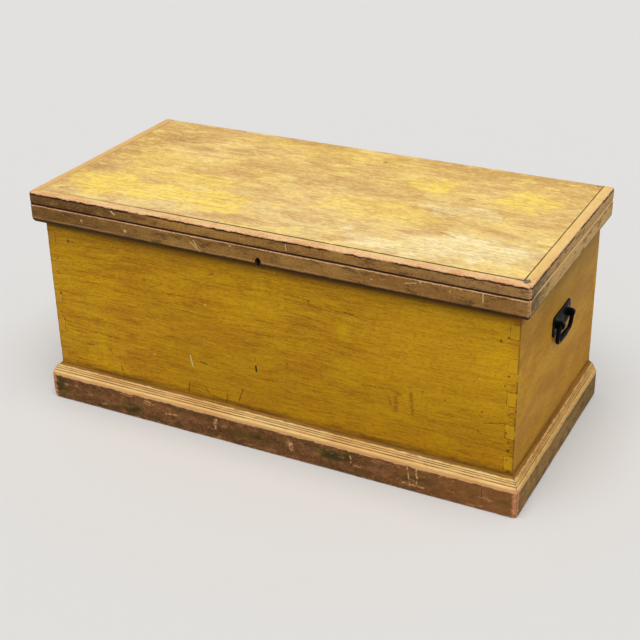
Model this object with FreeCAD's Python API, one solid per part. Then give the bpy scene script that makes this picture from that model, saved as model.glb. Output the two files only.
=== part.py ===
import FreeCAD
import Part
import math
import os

# A dovetailed pine blanket chest. Millimetres, +Z up, X along its length, front
# towards -Y. The origin is on the floor, under the middle of the whole footprint.

# Whole chest
lid_length = 1067.0
lid_depth = 512.0
overall_height = 480.0

# Carcass boards
board_thickness = 19.0
bottom_thickness = 16.0
bottom_board_count = 5
base_clearance = 24.0
corner_block_side = 58.0
corner_block_cut = 22.0

# Through dovetails at the four corners
tail_width = 29.5
tail_slope = 1.0 / 6.0
tail_pitch = 68.3
lowest_tail_height = 64.3

# Moulded plinth round the front and the ends
plinth_height = 80.0
plinth_thickness = 18.0
plinth_moulding_height = 24.0
plinth_corner_round = 2.5

# Strips nailed round the top of the carcass
strip_height = 42.0
strip_thickness = 21.0
strip_lower_round = 12.0
strip_upper_round = 1.5
strip_corner_round = 3.0

# Lid
lid_thickness = 25.0
lid_gap = 0.5
lid_seam_from_back = 236.0
lid_upper_round = 2.5
lid_lower_round = 1.2

# Butt hinges between the back board's top edge and the lid
hinge_length = 76.0
hinge_inset = 182.5
hinge_leaf_width = 17.0
hinge_leaf_thickness = 2.4
hinge_knuckle_diameter = 9.0
hinge_knuckle_count = 5
hinge_knuckle_gap = 0.5
hinge_pin_diameter = 4.4
hinge_pin_clearance = 0.05
hinge_screw_count = 3
hinge_screw_inset = 11.0

# Slotted countersunk screws
screw_head_diameter = 6.4
screw_head_height = 2.2
screw_shank_diameter = 3.2
screw_slot_width = 0.8
screw_slot_depth = 0.9
hinge_body_screw_length = 24.0
hinge_lid_screw_length = 18.0
handle_screw_length = 16.0
lock_screw_length = 13.0
link_screw_length = 15.0

# Cut nails with small round heads
nail_head_diameter = 3.4
nail_head_height = 0.8
nail_shank_diameter = 2.0
plinth_nail_length = 32.0
strip_nail_length = 35.0
lid_nail_length = 44.0
bottom_nail_length = 38.0
front_nail_spacing = 186.0
end_nail_spacing = 168.0
nail_end_margin = 60.0
bottom_nail_inset = 40.0

# Iron drop handles on the two ends
handle_pivot_height = 296.0
handle_plate_width = 106.0
handle_plate_height = 42.0
handle_plate_thickness = 3.0
handle_plate_round = 8.0
handle_ear_spacing = 64.0
handle_ear_thickness = 8.0
handle_ear_radius = 7.5
handle_pivot_reach = 11.5
handle_screw_spacing = 92.0
handle_screw_rise = 26.0
bail_diameter = 8.4
bail_drop = 37.0
bail_rest_lean = 6.0
bail_ear_clearance = 0.4
bail_upper_bend = 6.0
bail_lower_bend = 13.0
bail_pin_clearance = 0.05
bail_pin_overhang = 2.0
bail_grip_diameter = 10.6

# Iron box lock let into the inner face of the front board
lock_width = 78.0
lock_height = 50.0
lock_depth = 13.0
lock_plate_thickness = 1.6
lock_case_width = 58.0
lock_case_height = 43.0
lock_case_wall = 1.2
lock_screw_spacing = 69.0
lock_upper_screw_drop = 11.0
lock_lower_screw_drop = 43.0
drill_pin_diameter = 4.0
drill_pin_drop = 27.0
keyhole_diameter = 9.0
keyhole_slot_width = 5.0
keyhole_slot_length = 11.5
bolt_length = 38.0
bolt_height = 8.0
bolt_thickness = 3.5
bolt_drop = 9.5
bolt_clearance = 0.3
bolt_guide_thickness = 1.2
bolt_guide_length = 6.0
bolt_guide_spacing = 29.0
bolt_talon_width = 7.0
bolt_talon_height = 3.0
bolt_spring_thickness = 0.8
bolt_spring_length = 26.0
bolt_link_clearance = 3.0

# Link plate under the lid, whose link the bolt passes through
link_plate_length = 68.0
link_plate_width = 11.0
link_plate_thickness = 1.6
link_screw_spacing = 58.0
link_place = 20.0
link_thickness = 2.5
link_wall = 1.6
link_eye_clearance = 0.8
link_slot_clearance = 0.9

# How far a cut runs past the face that it opens through
overrun = 1.0

# Plinth moulding, from its lower arris to the carcass: the kind of edge, then its
# points as shares of the plinth's thickness and of the moulding's height
plinth_moulding_shares = [
    ("arc", (0.93, 0.24), (0.76, 0.40)),
    ("line", (0.71, 0.40)),
    ("arc", (0.72, 0.50), (0.63, 0.59)),
    ("line", (0.58, 0.59)),
    ("arc", (0.60, 0.66), (0.53, 0.73)),
    ("line", (0.48, 0.73)),
    ("arc", (0.50, 0.80), (0.41, 0.86)),
    ("arc", (0.24, 0.90), (0.13, 1.00)),
]

# Places worked out from the sizes above
overall_depth = lid_depth + hinge_knuckle_gap + hinge_knuckle_diameter
front_y = -overall_depth / 2
back_y = front_y + lid_depth
carcass_half = lid_length / 2 - strip_thickness
carcass_front = front_y + strip_thickness
inner_front = carcass_front + board_thickness
inner_back = back_y - board_thickness
carcass_bottom = base_clearance + bottom_thickness
lid_bottom = overall_height - lid_thickness
carcass_top = lid_bottom - lid_gap
strip_bottom = carcass_top - strip_height

x_way = FreeCAD.Vector(1, 0, 0)
y_way = FreeCAD.Vector(0, 1, 0)
z_way = FreeCAD.Vector(0, 0, 1)
middle = FreeCAD.Vector(0, 0, 0)
half_root = math.sqrt(0.5)


# Plain shapes

def block(x_low, x_high, y_low, y_high, z_low, z_high):
    corner = FreeCAD.Vector(x_low, y_low, z_low)
    return Part.makeBox(x_high - x_low, y_high - y_low, z_high - z_low, corner)


def rod(start, way, length, diameter):
    return Part.makeCylinder(diameter / 2, length, start, way)


def prism(points, way):
    return Part.Face(Part.makePolygon(points + points[:1])).extrude(way)


def mirrored(shape):
    return shape.mirror(middle, x_way)


def joined(shapes):
    return shapes[0].fuse(shapes[1:]).removeSplitter()


def drilled(shape, tools):
    return shape.cut(Part.makeCompound(tools))


def turned_to(shape, point, way):
    placed = shape.copy()
    placed.Placement = FreeCAD.Placement(point, FreeCAD.Rotation(z_way * -1, way))
    return placed


def outline_edges(start, steps):
    edges = []
    here = start
    for step in steps:
        if step[0] == "line":
            edges.append(Part.LineSegment(here, step[1]).toShape())
        else:
            edges.append(Part.Arc(here, step[1], step[2]).toShape())
        here = step[-1]
    edges.append(Part.LineSegment(here, start).toShape())
    return edges


# Fasteners, each drawn with its head at the top of the Z axis, then turned into place

def nail(point, way, length):
    head = rod(middle, z_way * -1, nail_head_height, nail_head_diameter)
    shank = rod(middle, z_way * -1, length, nail_shank_diameter)
    return turned_to(joined([head, shank]), point, way)


def screw_body(length):
    head = Part.makeCone(screw_head_diameter / 2, screw_shank_diameter / 2, screw_head_height,
                         middle, z_way * -1)
    point_length = screw_shank_diameter
    shank = rod(middle, z_way * -1, length - point_length, screw_shank_diameter)
    point = Part.makeCone(screw_shank_diameter / 2, 0, point_length,
                          z_way * (point_length - length), z_way * -1)
    return joined([head, shank, point])


def screw_hole(point, way, length):
    return turned_to(screw_body(length), point, way)


def screw(point, way, length):
    slot = block(-screw_head_diameter, screw_head_diameter, -screw_slot_width / 2,
                 screw_slot_width / 2, -screw_slot_depth, overrun)
    return turned_to(screw_body(length).cut(slot), point, way)


def spread(low, high, spacing):
    count = max(2, round((high - low) / spacing) + 1)
    return [low + (high - low) * number / (count - 1) for number in range(count)]


# Mitred runs of moulding on the front and the two ends

def front_run(steps, z_base):
    here = -carcass_half - plinth_thickness - strip_thickness

    def place(outward, up):
        return FreeCAD.Vector(here, carcass_front - outward, z_base + up)

    return run(steps, place, x_way * (-here - here))


def end_run(steps, z_base):
    here = carcass_front - plinth_thickness - strip_thickness

    def place(outward, up):
        return FreeCAD.Vector(carcass_half + outward, here, z_base + up)

    return run(steps, place, y_way * (back_y - here))


def run(steps, place, way):
    placed = []
    for step in steps:
        placed.append((step[0],) + tuple(place(*point) for point in step[1:]))
    wire = Part.Wire(outline_edges(place(0, 0), placed))
    return Part.Face(wire).extrude(way)


def mitre_prism(side, reach):
    tip = reach + overrun
    inner_corner = (carcass_half, carcass_front)
    outer_corner = (carcass_half + tip, carcass_front - tip)
    if side == "front":
        left = [(-outer_corner[0], outer_corner[1]), (-inner_corner[0], inner_corner[1])]
        plan = left + [inner_corner, outer_corner]
    else:
        plan = [inner_corner, outer_corner, (outer_corner[0], back_y), (carcass_half, back_y)]
    points = [FreeCAD.Vector(x, y, -overrun) for x, y in plan]
    return prism(points, z_way * (overall_height + overrun + overrun))


def plan_prism(reach, corner_round):
    x_edge = carcass_half + reach
    y_edge = carcass_front - reach
    full = block(-x_edge, x_edge, y_edge, back_y, -overrun, overall_height + overrun)
    upright = [edge for edge in full.Edges
               if edge.BoundBox.ZLength > overall_height and edge.BoundBox.YMax < carcass_front]
    return full.makeFillet(corner_round, upright)


def mitred_set(steps, z_base, reach, corner_round):
    trim = plan_prism(reach, corner_round)
    front = front_run(steps, z_base).common(mitre_prism("front", reach)).common(trim)
    right = end_run(steps, z_base).common(mitre_prism("end", reach)).common(trim)
    return front, right, mirrored(right)


def rounded_steps(reach, height, lower_round, upper_round):
    low_mid = (reach - lower_round * (1 - half_root), lower_round * (1 - half_root))
    high_mid = (reach - upper_round * (1 - half_root), height - upper_round * (1 - half_root))
    return [
        ("line", (reach - lower_round, 0)),
        ("arc", low_mid, (reach, lower_round)),
        ("line", (reach, height - upper_round)),
        ("arc", high_mid, (reach - upper_round, height)),
        ("line", (0, height)),
    ]


def plinth_steps():
    face_height = plinth_height - plinth_moulding_height
    steps = [("line", (plinth_thickness, 0)), ("line", (plinth_thickness, face_height))]
    for step in plinth_moulding_shares:
        points = [(out * plinth_thickness, face_height + up * plinth_moulding_height)
                  for out, up in step[1:]]
        steps.append((step[0],) + tuple(points))
    steps.append(("line", (0, plinth_height)))
    return steps


# Dovetailed carcass

def tail_heights():
    first = carcass_bottom + lowest_tail_height
    room = carcass_top - first - tail_width
    count = max(1, int(room / tail_pitch) + 1)
    return [first + tail_pitch * number for number in range(count)]


def right_tail(root_y, end_y, height):
    end_half = tail_width / 2
    root_half = end_half - board_thickness * tail_slope
    start_x = carcass_half - board_thickness
    points = [
        FreeCAD.Vector(start_x, root_y, height - root_half),
        FreeCAD.Vector(start_x, end_y, height - end_half),
        FreeCAD.Vector(start_x, end_y, height + end_half),
        FreeCAD.Vector(start_x, root_y, height + root_half),
    ]
    return prism(points, x_way * board_thickness)


front_tails = [right_tail(inner_front, carcass_front, height) for height in tail_heights()]
back_tails = [right_tail(inner_back, back_y, height) for height in tail_heights()]
right_end_board = joined([block(carcass_half - board_thickness, carcass_half, inner_front,
                                inner_back, carcass_bottom, carcass_top)]
                         + front_tails + back_tails)
left_end_board = mirrored(right_end_board)
front_board = drilled(block(-carcass_half, carcass_half, carcass_front, inner_front,
                            carcass_bottom, carcass_top),
                      front_tails + [mirrored(tail) for tail in front_tails])
back_board = drilled(block(-carcass_half, carcass_half, inner_back, back_y,
                           carcass_bottom, carcass_top),
                     back_tails + [mirrored(tail) for tail in back_tails])


# Bottom boards laid front to back, and the blocks that they stand on

def bottom_board(number):
    width = (carcass_half + carcass_half) / bottom_board_count
    low = -carcass_half + width * number
    return block(low, low + width, carcass_front, back_y, base_clearance, carcass_bottom)


def corner_block(end_sign, front_sign):
    x_corner = carcass_half * end_sign
    y_corner = carcass_front if front_sign < 0 else back_y
    x_far = x_corner - corner_block_side * end_sign
    y_far = y_corner - corner_block_side * front_sign
    points = [
        FreeCAD.Vector(x_corner, y_corner, 0),
        FreeCAD.Vector(x_far, y_corner, 0),
        FreeCAD.Vector(x_far, y_corner - corner_block_cut * front_sign, 0),
        FreeCAD.Vector(x_corner - corner_block_cut * end_sign, y_far, 0),
        FreeCAD.Vector(x_corner, y_far, 0),
    ]
    return prism(points, z_way * base_clearance)


bottom_boards = [bottom_board(number) for number in range(bottom_board_count)]
corner_blocks = {
    "corner_block_front_left": corner_block(-1, -1),
    "corner_block_front_right": corner_block(1, -1),
    "corner_block_back_left": corner_block(-1, 1),
    "corner_block_back_right": corner_block(1, 1),
}

# Plinth, carcass strips and lid edging, mitred at the front corners
plinth_front, plinth_right, plinth_left = mitred_set(plinth_steps(), 0, plinth_thickness,
                                                     plinth_corner_round)
strip_steps = rounded_steps(strip_thickness, strip_height, strip_lower_round, strip_upper_round)
strip_front, strip_right, strip_left = mitred_set(strip_steps, strip_bottom, strip_thickness,
                                                  strip_corner_round)
lid_steps = rounded_steps(strip_thickness, lid_thickness, lid_lower_round, lid_upper_round)
lid_edge_front, lid_edge_right, lid_edge_left = mitred_set(lid_steps, lid_bottom,
                                                           strip_thickness, strip_corner_round)

# Lid panel of two boards edge to edge
lid_seam = back_y - lid_seam_from_back
lid_board_front = block(-carcass_half, carcass_half, carcass_front, lid_seam,
                        lid_bottom, overall_height)
lid_board_back = block(-carcass_half, carcass_half, lid_seam, back_y,
                       lid_bottom, overall_height)


# Nails

def run_nails(reach, height, length):
    front = [nail(FreeCAD.Vector(x, carcass_front - reach, height), y_way, length)
             for x in spread(nail_end_margin - carcass_half, carcass_half - nail_end_margin,
                             front_nail_spacing)]
    right = [nail(FreeCAD.Vector(carcass_half + reach, y, height), x_way * -1, length)
             for y in spread(carcass_front + nail_end_margin, back_y - nail_end_margin,
                             end_nail_spacing)]
    return front + right + [mirrored(one) for one in right]


def bottom_nail_set():
    nails = []
    width = (carcass_half + carcass_half) / bottom_board_count
    for number in range(bottom_board_count):
        low = -carcass_half + width * number
        for x in (low + bottom_nail_inset, low + width - bottom_nail_inset):
            for y in ((carcass_front + inner_front) / 2, (inner_back + back_y) / 2):
                point = FreeCAD.Vector(x, y, base_clearance)
                nails.append(nail(point, z_way, bottom_nail_length))
    return nails


plinth_nail_height = (carcass_bottom + plinth_height - plinth_moulding_height) / 2
strip_nail_height = carcass_top - (strip_height - strip_lower_round) / 2
plinth_nails = run_nails(plinth_thickness, plinth_nail_height, plinth_nail_length)
strip_nails = run_nails(strip_thickness, strip_nail_height, strip_nail_length)
lid_nails = run_nails(strip_thickness, (lid_bottom + overall_height) / 2, lid_nail_length)
bottom_nails = bottom_nail_set()


# Hinges, drawn about a middle and moved to either side

hinge_axis_y = back_y + hinge_knuckle_gap + hinge_knuckle_diameter / 2
hinge_axis_z = carcass_top + lid_gap / 2
hinge_low = -hinge_length / 2
knuckle_pitch = hinge_length / hinge_knuckle_count


def hinge_leaf(plate_low, plate_high, own_numbers, hole_diameter):
    shapes = [block(hinge_low, hinge_low + hinge_length, back_y - hinge_leaf_width, back_y,
                    plate_low, plate_high)]
    for number in own_numbers:
        x_low = hinge_low + knuckle_pitch * number
        x_high = x_low + knuckle_pitch
        if number > 0:
            x_low += lid_gap / 2
        if number < hinge_knuckle_count - 1:
            x_high -= lid_gap / 2
        start = FreeCAD.Vector(x_low, hinge_axis_y, hinge_axis_z)
        shapes.append(rod(start, x_way, x_high - x_low, hinge_knuckle_diameter))
        shapes.append(block(x_low, x_high, back_y - hinge_leaf_width, hinge_axis_y,
                            plate_low, plate_high))
    hole_start = FreeCAD.Vector(hinge_low - overrun, hinge_axis_y, hinge_axis_z)
    hole = rod(hole_start, x_way, hinge_length + overrun + overrun, hole_diameter)
    return joined(shapes).cut(hole)


def hinge_screw_places(z_face):
    y_row = back_y - board_thickness / 2
    low = hinge_low + hinge_screw_inset
    high = hinge_low + hinge_length - hinge_screw_inset
    step = (high - low) / (hinge_screw_count - 1)
    return [FreeCAD.Vector(low + step * number, y_row, z_face)
            for number in range(hinge_screw_count)]


def at_hinge(shape, side):
    return shape.translated(x_way * ((carcass_half - hinge_inset) * side))


body_numbers = range(0, hinge_knuckle_count, 2)
lid_numbers = range(1, hinge_knuckle_count, 2)
body_leaf_low = carcass_top - hinge_leaf_thickness
lid_leaf_high = lid_bottom + hinge_leaf_thickness
body_holes = [screw_hole(place, z_way * -1, hinge_body_screw_length)
              for place in hinge_screw_places(carcass_top)]
lid_holes = [screw_hole(place, z_way, hinge_lid_screw_length)
             for place in hinge_screw_places(lid_bottom)]
body_leaf = drilled(hinge_leaf(body_leaf_low, carcass_top, body_numbers, hinge_pin_diameter),
                    body_holes)
lid_hole_diameter = hinge_pin_diameter + hinge_pin_clearance + hinge_pin_clearance
lid_leaf = drilled(hinge_leaf(lid_bottom, lid_leaf_high, lid_numbers, lid_hole_diameter),
                   lid_holes)
hinge_pin = rod(FreeCAD.Vector(hinge_low, hinge_axis_y, hinge_axis_z), x_way, hinge_length,
                hinge_pin_diameter)
body_screws = [screw(place, z_way * -1, hinge_body_screw_length)
               for place in hinge_screw_places(carcass_top)]
lid_screws = [screw(place, z_way, hinge_lid_screw_length)
              for place in hinge_screw_places(lid_bottom)]
leaf_edge = back_y - hinge_leaf_width
body_rebate = block(hinge_low, hinge_low + hinge_length, leaf_edge, back_y + overrun,
                    body_leaf_low, carcass_top + overrun)
lid_rebate = block(hinge_low, hinge_low + hinge_length, leaf_edge, back_y + overrun,
                   lid_bottom - overrun, lid_leaf_high)

# Lock: main plate with its selvedge and drill pin, and the case that covers the works
plate_front = inner_front - lock_plate_thickness
lock_front = inner_front - lock_depth
selvedge_bottom = carcass_top - lock_plate_thickness
case_bottom = selvedge_bottom - lock_case_height
pin_place = FreeCAD.Vector(0, lock_front, carcass_top - drill_pin_drop)
works_middle = (plate_front + lock_front + lock_case_wall) / 2
link_half = bolt_thickness / 2 + link_eye_clearance + link_wall
bolt_top = selvedge_bottom - bolt_drop
bolt_bottom = bolt_top - bolt_height


def lock_screw_places():
    return [FreeCAD.Vector(side * lock_screw_spacing / 2, inner_front, carcass_top - drop)
            for side in (-1, 1) for drop in (lock_upper_screw_drop, lock_lower_screw_drop)]


def lock_case_block(wall):
    return block(wall - lock_case_width / 2, lock_case_width / 2 - wall, lock_front + wall,
                 plate_front, case_bottom + wall, selvedge_bottom)


def keyhole(y_low, y_high):
    centre = FreeCAD.Vector(0, y_low, pin_place.z)
    eye = rod(centre, y_way, y_high - y_low, keyhole_diameter)
    slot = block(-keyhole_slot_width / 2, keyhole_slot_width / 2, y_low, y_high,
                 pin_place.z - keyhole_slot_length, pin_place.z)
    return joined([eye, slot])


lock_plate_sheet = block(-lock_width / 2, lock_width / 2, plate_front, inner_front,
                         carcass_top - lock_height, carcass_top)
selvedge = block(-lock_width / 2, lock_width / 2, lock_front, inner_front,
                 selvedge_bottom, carcass_top)
drill_pin = rod(pin_place, y_way, plate_front - lock_front, drill_pin_diameter)
link_slot = block(link_place - link_slot_clearance,
                  link_place + link_thickness + link_slot_clearance,
                  works_middle - link_half - link_slot_clearance,
                  works_middle + link_half + link_slot_clearance,
                  selvedge_bottom - overrun, carcass_top + overrun)
lock_holes = [screw_hole(place, y_way * -1, lock_screw_length) for place in lock_screw_places()]
lock_screws = [screw(place, y_way * -1, lock_screw_length) for place in lock_screw_places()]
lock_plate = drilled(joined([lock_plate_sheet, selvedge, drill_pin]), [link_slot] + lock_holes)
case_keyhole = keyhole(lock_front - overrun, lock_front + lock_case_wall + overrun)
lock_case_shell = drilled(lock_case_block(0), [lock_case_block(lock_case_wall), case_keyhole])

# Bolt at rest, withdrawn, and the bow spring that rides on it
bolt_end = link_place - bolt_link_clearance
bolt_back = works_middle + bolt_thickness / 2
bolt_bar = block(bolt_end - bolt_length, bolt_end, bolt_back - bolt_thickness, bolt_back,
                 bolt_bottom, bolt_top)
talon = block(-bolt_talon_width / 2, bolt_talon_width / 2, bolt_back - bolt_thickness - overrun,
              bolt_back + overrun, bolt_bottom - overrun, bolt_bottom + bolt_talon_height)
lock_bolt = bolt_bar.cut(talon)


def bolt_guide(side):
    x_middle = side * bolt_guide_spacing / 2
    guide_top = bolt_bottom - bolt_clearance
    return block(x_middle - bolt_guide_length / 2, x_middle + bolt_guide_length / 2,
                 lock_front + lock_case_wall / 2, plate_front,
                 guide_top - bolt_guide_thickness, guide_top)


lock_case = joined([lock_case_shell, bolt_guide(-1), bolt_guide(1)])


def bow_spring():
    low_x = bolt_end - bolt_length
    crown = selvedge_bottom - bolt_clearance
    half = bolt_spring_length / 2

    def place(x, z):
        return FreeCAD.Vector(x, bolt_back - bolt_thickness, z)

    upper = Part.Arc(place(low_x, bolt_top + bolt_spring_thickness), place(low_x + half, crown),
                     place(low_x + bolt_spring_length, bolt_top + bolt_spring_thickness))
    lower = Part.Arc(place(low_x + bolt_spring_length, bolt_top),
                     place(low_x + half, crown - bolt_spring_thickness), place(low_x, bolt_top))
    ends = [Part.LineSegment(upper.EndPoint, lower.StartPoint),
            Part.LineSegment(lower.EndPoint, upper.StartPoint)]
    edges = [upper.toShape(), ends[0].toShape(), lower.toShape(), ends[1].toShape()]
    return Part.Face(Part.Wire(edges)).extrude(y_way * bolt_thickness)


bolt_spring = bow_spring()

# Link plate let into the underside of the lid
link_eye_low = bolt_bottom - link_eye_clearance
link_eye_high = bolt_top + link_eye_clearance
eye_half = bolt_thickness / 2 + link_eye_clearance
link_sheet = block(-link_plate_length / 2, link_plate_length / 2,
                   works_middle - link_plate_width / 2, works_middle + link_plate_width / 2,
                   lid_bottom, lid_bottom + link_plate_thickness)
link_loop = block(link_place, link_place + link_thickness, works_middle - link_half,
                  works_middle + link_half, link_eye_low - link_wall, lid_bottom)
link_eye = block(link_place - overrun, link_place + link_thickness + overrun,
                 works_middle - eye_half, works_middle + eye_half, link_eye_low, link_eye_high)


def link_screw_places():
    return [FreeCAD.Vector(side * link_screw_spacing / 2, works_middle, lid_bottom)
            for side in (-1, 1)]


link_holes = [screw_hole(place, z_way, link_screw_length) for place in link_screw_places()]
link_screws = [screw(place, z_way, link_screw_length) for place in link_screw_places()]
link_plate = drilled(joined([link_sheet, link_loop]), [link_eye] + link_holes)

# Drop handle on the right end, mirrored for the left
handle_y = (carcass_front + back_y) / 2
pivot_x = carcass_half + handle_pivot_reach


def rounded_plate():
    plate = block(carcass_half, carcass_half + handle_plate_thickness,
                  handle_y - handle_plate_width / 2, handle_y + handle_plate_width / 2,
                  handle_pivot_height - handle_plate_height / 2,
                  handle_pivot_height + handle_plate_height / 2)
    corners = [edge for edge in plate.Edges
               if edge.BoundBox.YLength + edge.BoundBox.ZLength < handle_plate_thickness]
    return plate.makeFillet(handle_plate_round, corners)


def ear(side):
    y_low = handle_y + side * handle_ear_spacing / 2 - handle_ear_thickness / 2
    arm = block(carcass_half + handle_plate_thickness / 2, pivot_x, y_low,
                y_low + handle_ear_thickness, handle_pivot_height - handle_ear_radius,
                handle_pivot_height + handle_ear_radius)
    start = FreeCAD.Vector(pivot_x, y_low, handle_pivot_height)
    return joined([arm, rod(start, y_way, handle_ear_thickness,
                            handle_ear_radius + handle_ear_radius)])


def handle_screw_places():
    return [FreeCAD.Vector(carcass_half + handle_plate_thickness,
                           handle_y + side * handle_screw_spacing / 2,
                           handle_pivot_height + up * handle_screw_rise / 2)
            for side in (-1, 1) for up in (-1, 1)]


def bail_path(leg):
    x = pivot_x
    inner = handle_ear_spacing / 2 - handle_ear_thickness / 2 - bail_pin_overhang
    top = handle_pivot_height
    foot = handle_pivot_height - bail_drop
    upper = bail_upper_bend * (1 - half_root)
    lower = bail_lower_bend * (1 - half_root)

    def place(y, z):
        return FreeCAD.Vector(x, handle_y + y, z)

    half = [
        (place(inner, top), place(leg - bail_upper_bend, top)),
        (place(leg - bail_upper_bend, top), place(leg - upper, top - upper),
         place(leg, top - bail_upper_bend)),
        (place(leg, top - bail_upper_bend), place(leg, foot + bail_lower_bend)),
        (place(leg, foot + bail_lower_bend), place(leg - lower, foot + lower),
         place(leg - bail_lower_bend, foot)),
    ]
    other = []
    for points in half[::-1]:
        turned = [FreeCAD.Vector(p.x, handle_y + handle_y - p.y, p.z) for p in points]
        other.append(tuple(turned[::-1]))
    grip = (half[-1][-1], other[0][0])
    edges = []
    for points in half + [grip] + other:
        curve = Part.LineSegment(*points) if len(points) == 2 else Part.Arc(*points)
        edges.append(curve.toShape())
    return Part.Wire(edges)


def bail():
    ear_face = handle_ear_spacing / 2 + handle_ear_thickness / 2
    leg = ear_face + bail_ear_clearance + bail_upper_bend
    path = bail_path(leg)
    start = path.Edges[0].Vertexes[0].Point
    ring = Part.Wire(Part.makeCircle(bail_diameter / 2, start, y_way))
    bar = path.makePipeShell([ring], True, False)
    grip_half = leg - bail_lower_bend
    foot = handle_pivot_height - bail_drop
    ends = [FreeCAD.Vector(pivot_x, handle_y - grip_half, foot),
            FreeCAD.Vector(pivot_x, handle_y + grip_half, foot)]
    crown = FreeCAD.Vector(pivot_x, handle_y, foot + bail_grip_diameter / 2)
    rims = [end + z_way * (bail_diameter / 2) for end in ends]
    edges = [Part.LineSegment(ends[0], rims[0]).toShape(),
             Part.Arc(rims[0], crown, rims[1]).toShape(),
             Part.LineSegment(rims[1], ends[1]).toShape(),
             Part.LineSegment(ends[1], ends[0]).toShape()]
    swell = Part.Face(Part.Wire(edges)).revolve(ends[0], y_way, 360)
    pivot = FreeCAD.Vector(pivot_x, handle_y, handle_pivot_height)
    return joined([bar, swell]).rotated(pivot, y_way, bail_rest_lean)


handle_holes = [screw_hole(place, x_way * -1, handle_screw_length)
                for place in handle_screw_places()]
handle_screws = [screw(place, x_way * -1, handle_screw_length)
                 for place in handle_screw_places()]
ear_bore_start = FreeCAD.Vector(pivot_x, handle_y - handle_plate_width / 2, handle_pivot_height)
ear_bore = rod(ear_bore_start, y_way, handle_plate_width,
               bail_diameter + bail_pin_clearance + bail_pin_clearance)
handle_plate = drilled(joined([rounded_plate(), ear(-1), ear(1)]), [ear_bore] + handle_holes)
handle_bail = bail()

# Rebates, pockets and holes in the wood for what is let into it
sides = (-1, 1)
front_pocket = [lock_plate_sheet, selvedge, lock_case_block(0),
                keyhole(carcass_front - overrun, lock_front + overrun)]
front_board = drilled(front_board, front_pocket + lock_holes + plinth_nails + strip_nails
                      + bottom_nails)
back_board = drilled(back_board, [at_hinge(body_rebate, side) for side in sides]
                     + [at_hinge(hole, side) for side in sides for hole in body_holes]
                     + bottom_nails)
left_holes = [mirrored(hole) for hole in handle_holes]
right_end_board = drilled(right_end_board, handle_holes + plinth_nails + strip_nails)
left_end_board = drilled(left_end_board, left_holes + plinth_nails + strip_nails)
bottom_boards = [drilled(board, bottom_nails) for board in bottom_boards]
plinth_front, plinth_left, plinth_right = [drilled(piece, plinth_nails) for piece
                                           in (plinth_front, plinth_left, plinth_right)]
strip_keyhole = keyhole(front_y - overrun, carcass_front + overrun)
strip_front, strip_left, strip_right = [drilled(piece, strip_nails + [strip_keyhole]) for piece
                                        in (strip_front, strip_left, strip_right)]
lid_edge_front, lid_edge_left, lid_edge_right = [drilled(piece, lid_nails) for piece in
                                                 (lid_edge_front, lid_edge_left,
                                                  lid_edge_right)]
lid_board_front = drilled(lid_board_front, lid_nails + [link_sheet] + link_holes)
lid_board_back = drilled(lid_board_back, [at_hinge(lid_rebate, side) for side in sides]
                         + [at_hinge(hole, side) for side in sides for hole in lid_holes]
                         + lid_nails)

# Every sub-part by the name of its node
nodes = {
    "front_board": front_board,
    "back_board": back_board,
    "left_end_board": left_end_board,
    "right_end_board": right_end_board,
    "bottom_nails": Part.makeCompound(bottom_nails),
    "plinth_front": plinth_front,
    "plinth_left": plinth_left,
    "plinth_right": plinth_right,
    "plinth_nails": Part.makeCompound(plinth_nails),
    "strip_front": strip_front,
    "strip_left": strip_left,
    "strip_right": strip_right,
    "strip_nails": Part.makeCompound(strip_nails),
    "lid_board_front": lid_board_front,
    "lid_board_back": lid_board_back,
    "lid_edge_front": lid_edge_front,
    "lid_edge_left": lid_edge_left,
    "lid_edge_right": lid_edge_right,
    "lid_edge_nails": Part.makeCompound(lid_nails),
    "hinge_left_body_leaf": at_hinge(body_leaf, -1),
    "hinge_left_lid_leaf": at_hinge(lid_leaf, -1),
    "hinge_left_pin": at_hinge(hinge_pin, -1),
    "hinge_right_body_leaf": at_hinge(body_leaf, 1),
    "hinge_right_lid_leaf": at_hinge(lid_leaf, 1),
    "hinge_right_pin": at_hinge(hinge_pin, 1),
    "hinge_body_screws": Part.makeCompound([at_hinge(one, side) for side in sides
                                            for one in body_screws]),
    "hinge_lid_screws": Part.makeCompound([at_hinge(one, side) for side in sides
                                           for one in lid_screws]),
    "lock_plate": lock_plate,
    "lock_case": lock_case,
    "lock_bolt": lock_bolt,
    "lock_bolt_spring": bolt_spring,
    "lock_screws": Part.makeCompound(lock_screws),
    "lid_link_plate": link_plate,
    "lid_link_screws": Part.makeCompound(link_screws),
    "handle_right_plate": handle_plate,
    "handle_right_bail": handle_bail,
    "handle_right_screws": Part.makeCompound(handle_screws),
    "handle_left_plate": mirrored(handle_plate),
    "handle_left_bail": mirrored(handle_bail),
    "handle_left_screws": Part.makeCompound([mirrored(one) for one in handle_screws]),
}
nodes.update(corner_blocks)
for number, board in enumerate(bottom_boards):
    nodes["bottom_board_" + str(number + 1)] = board

os.makedirs("parts", exist_ok=True)
for name, shape in nodes.items():
    shape.exportStep("parts/" + name + ".step")
    print(name, "solids", len(shape.Solids), "valid", shape.isValid(),
          "cm3", round(shape.Volume / 1000, 2))
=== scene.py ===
# %% [markdown]
# # A dovetailed pine blanket chest
#
# The chest is a plain joiner's box. Its boards, irons and fastenings come from the CAD
# model, and this lesson dresses them: the mouldings get worn arrises, the boards get their
# old mustard paint, and the irons get their black finish. Everything stays in the CAD frame,
# in metres, with the front towards -Y and the floor at Z = 0.

# %% Load the CAD frame
import math
from types import SimpleNamespace
import bmesh
import bpy
from mathutils import Matrix, Vector


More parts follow.
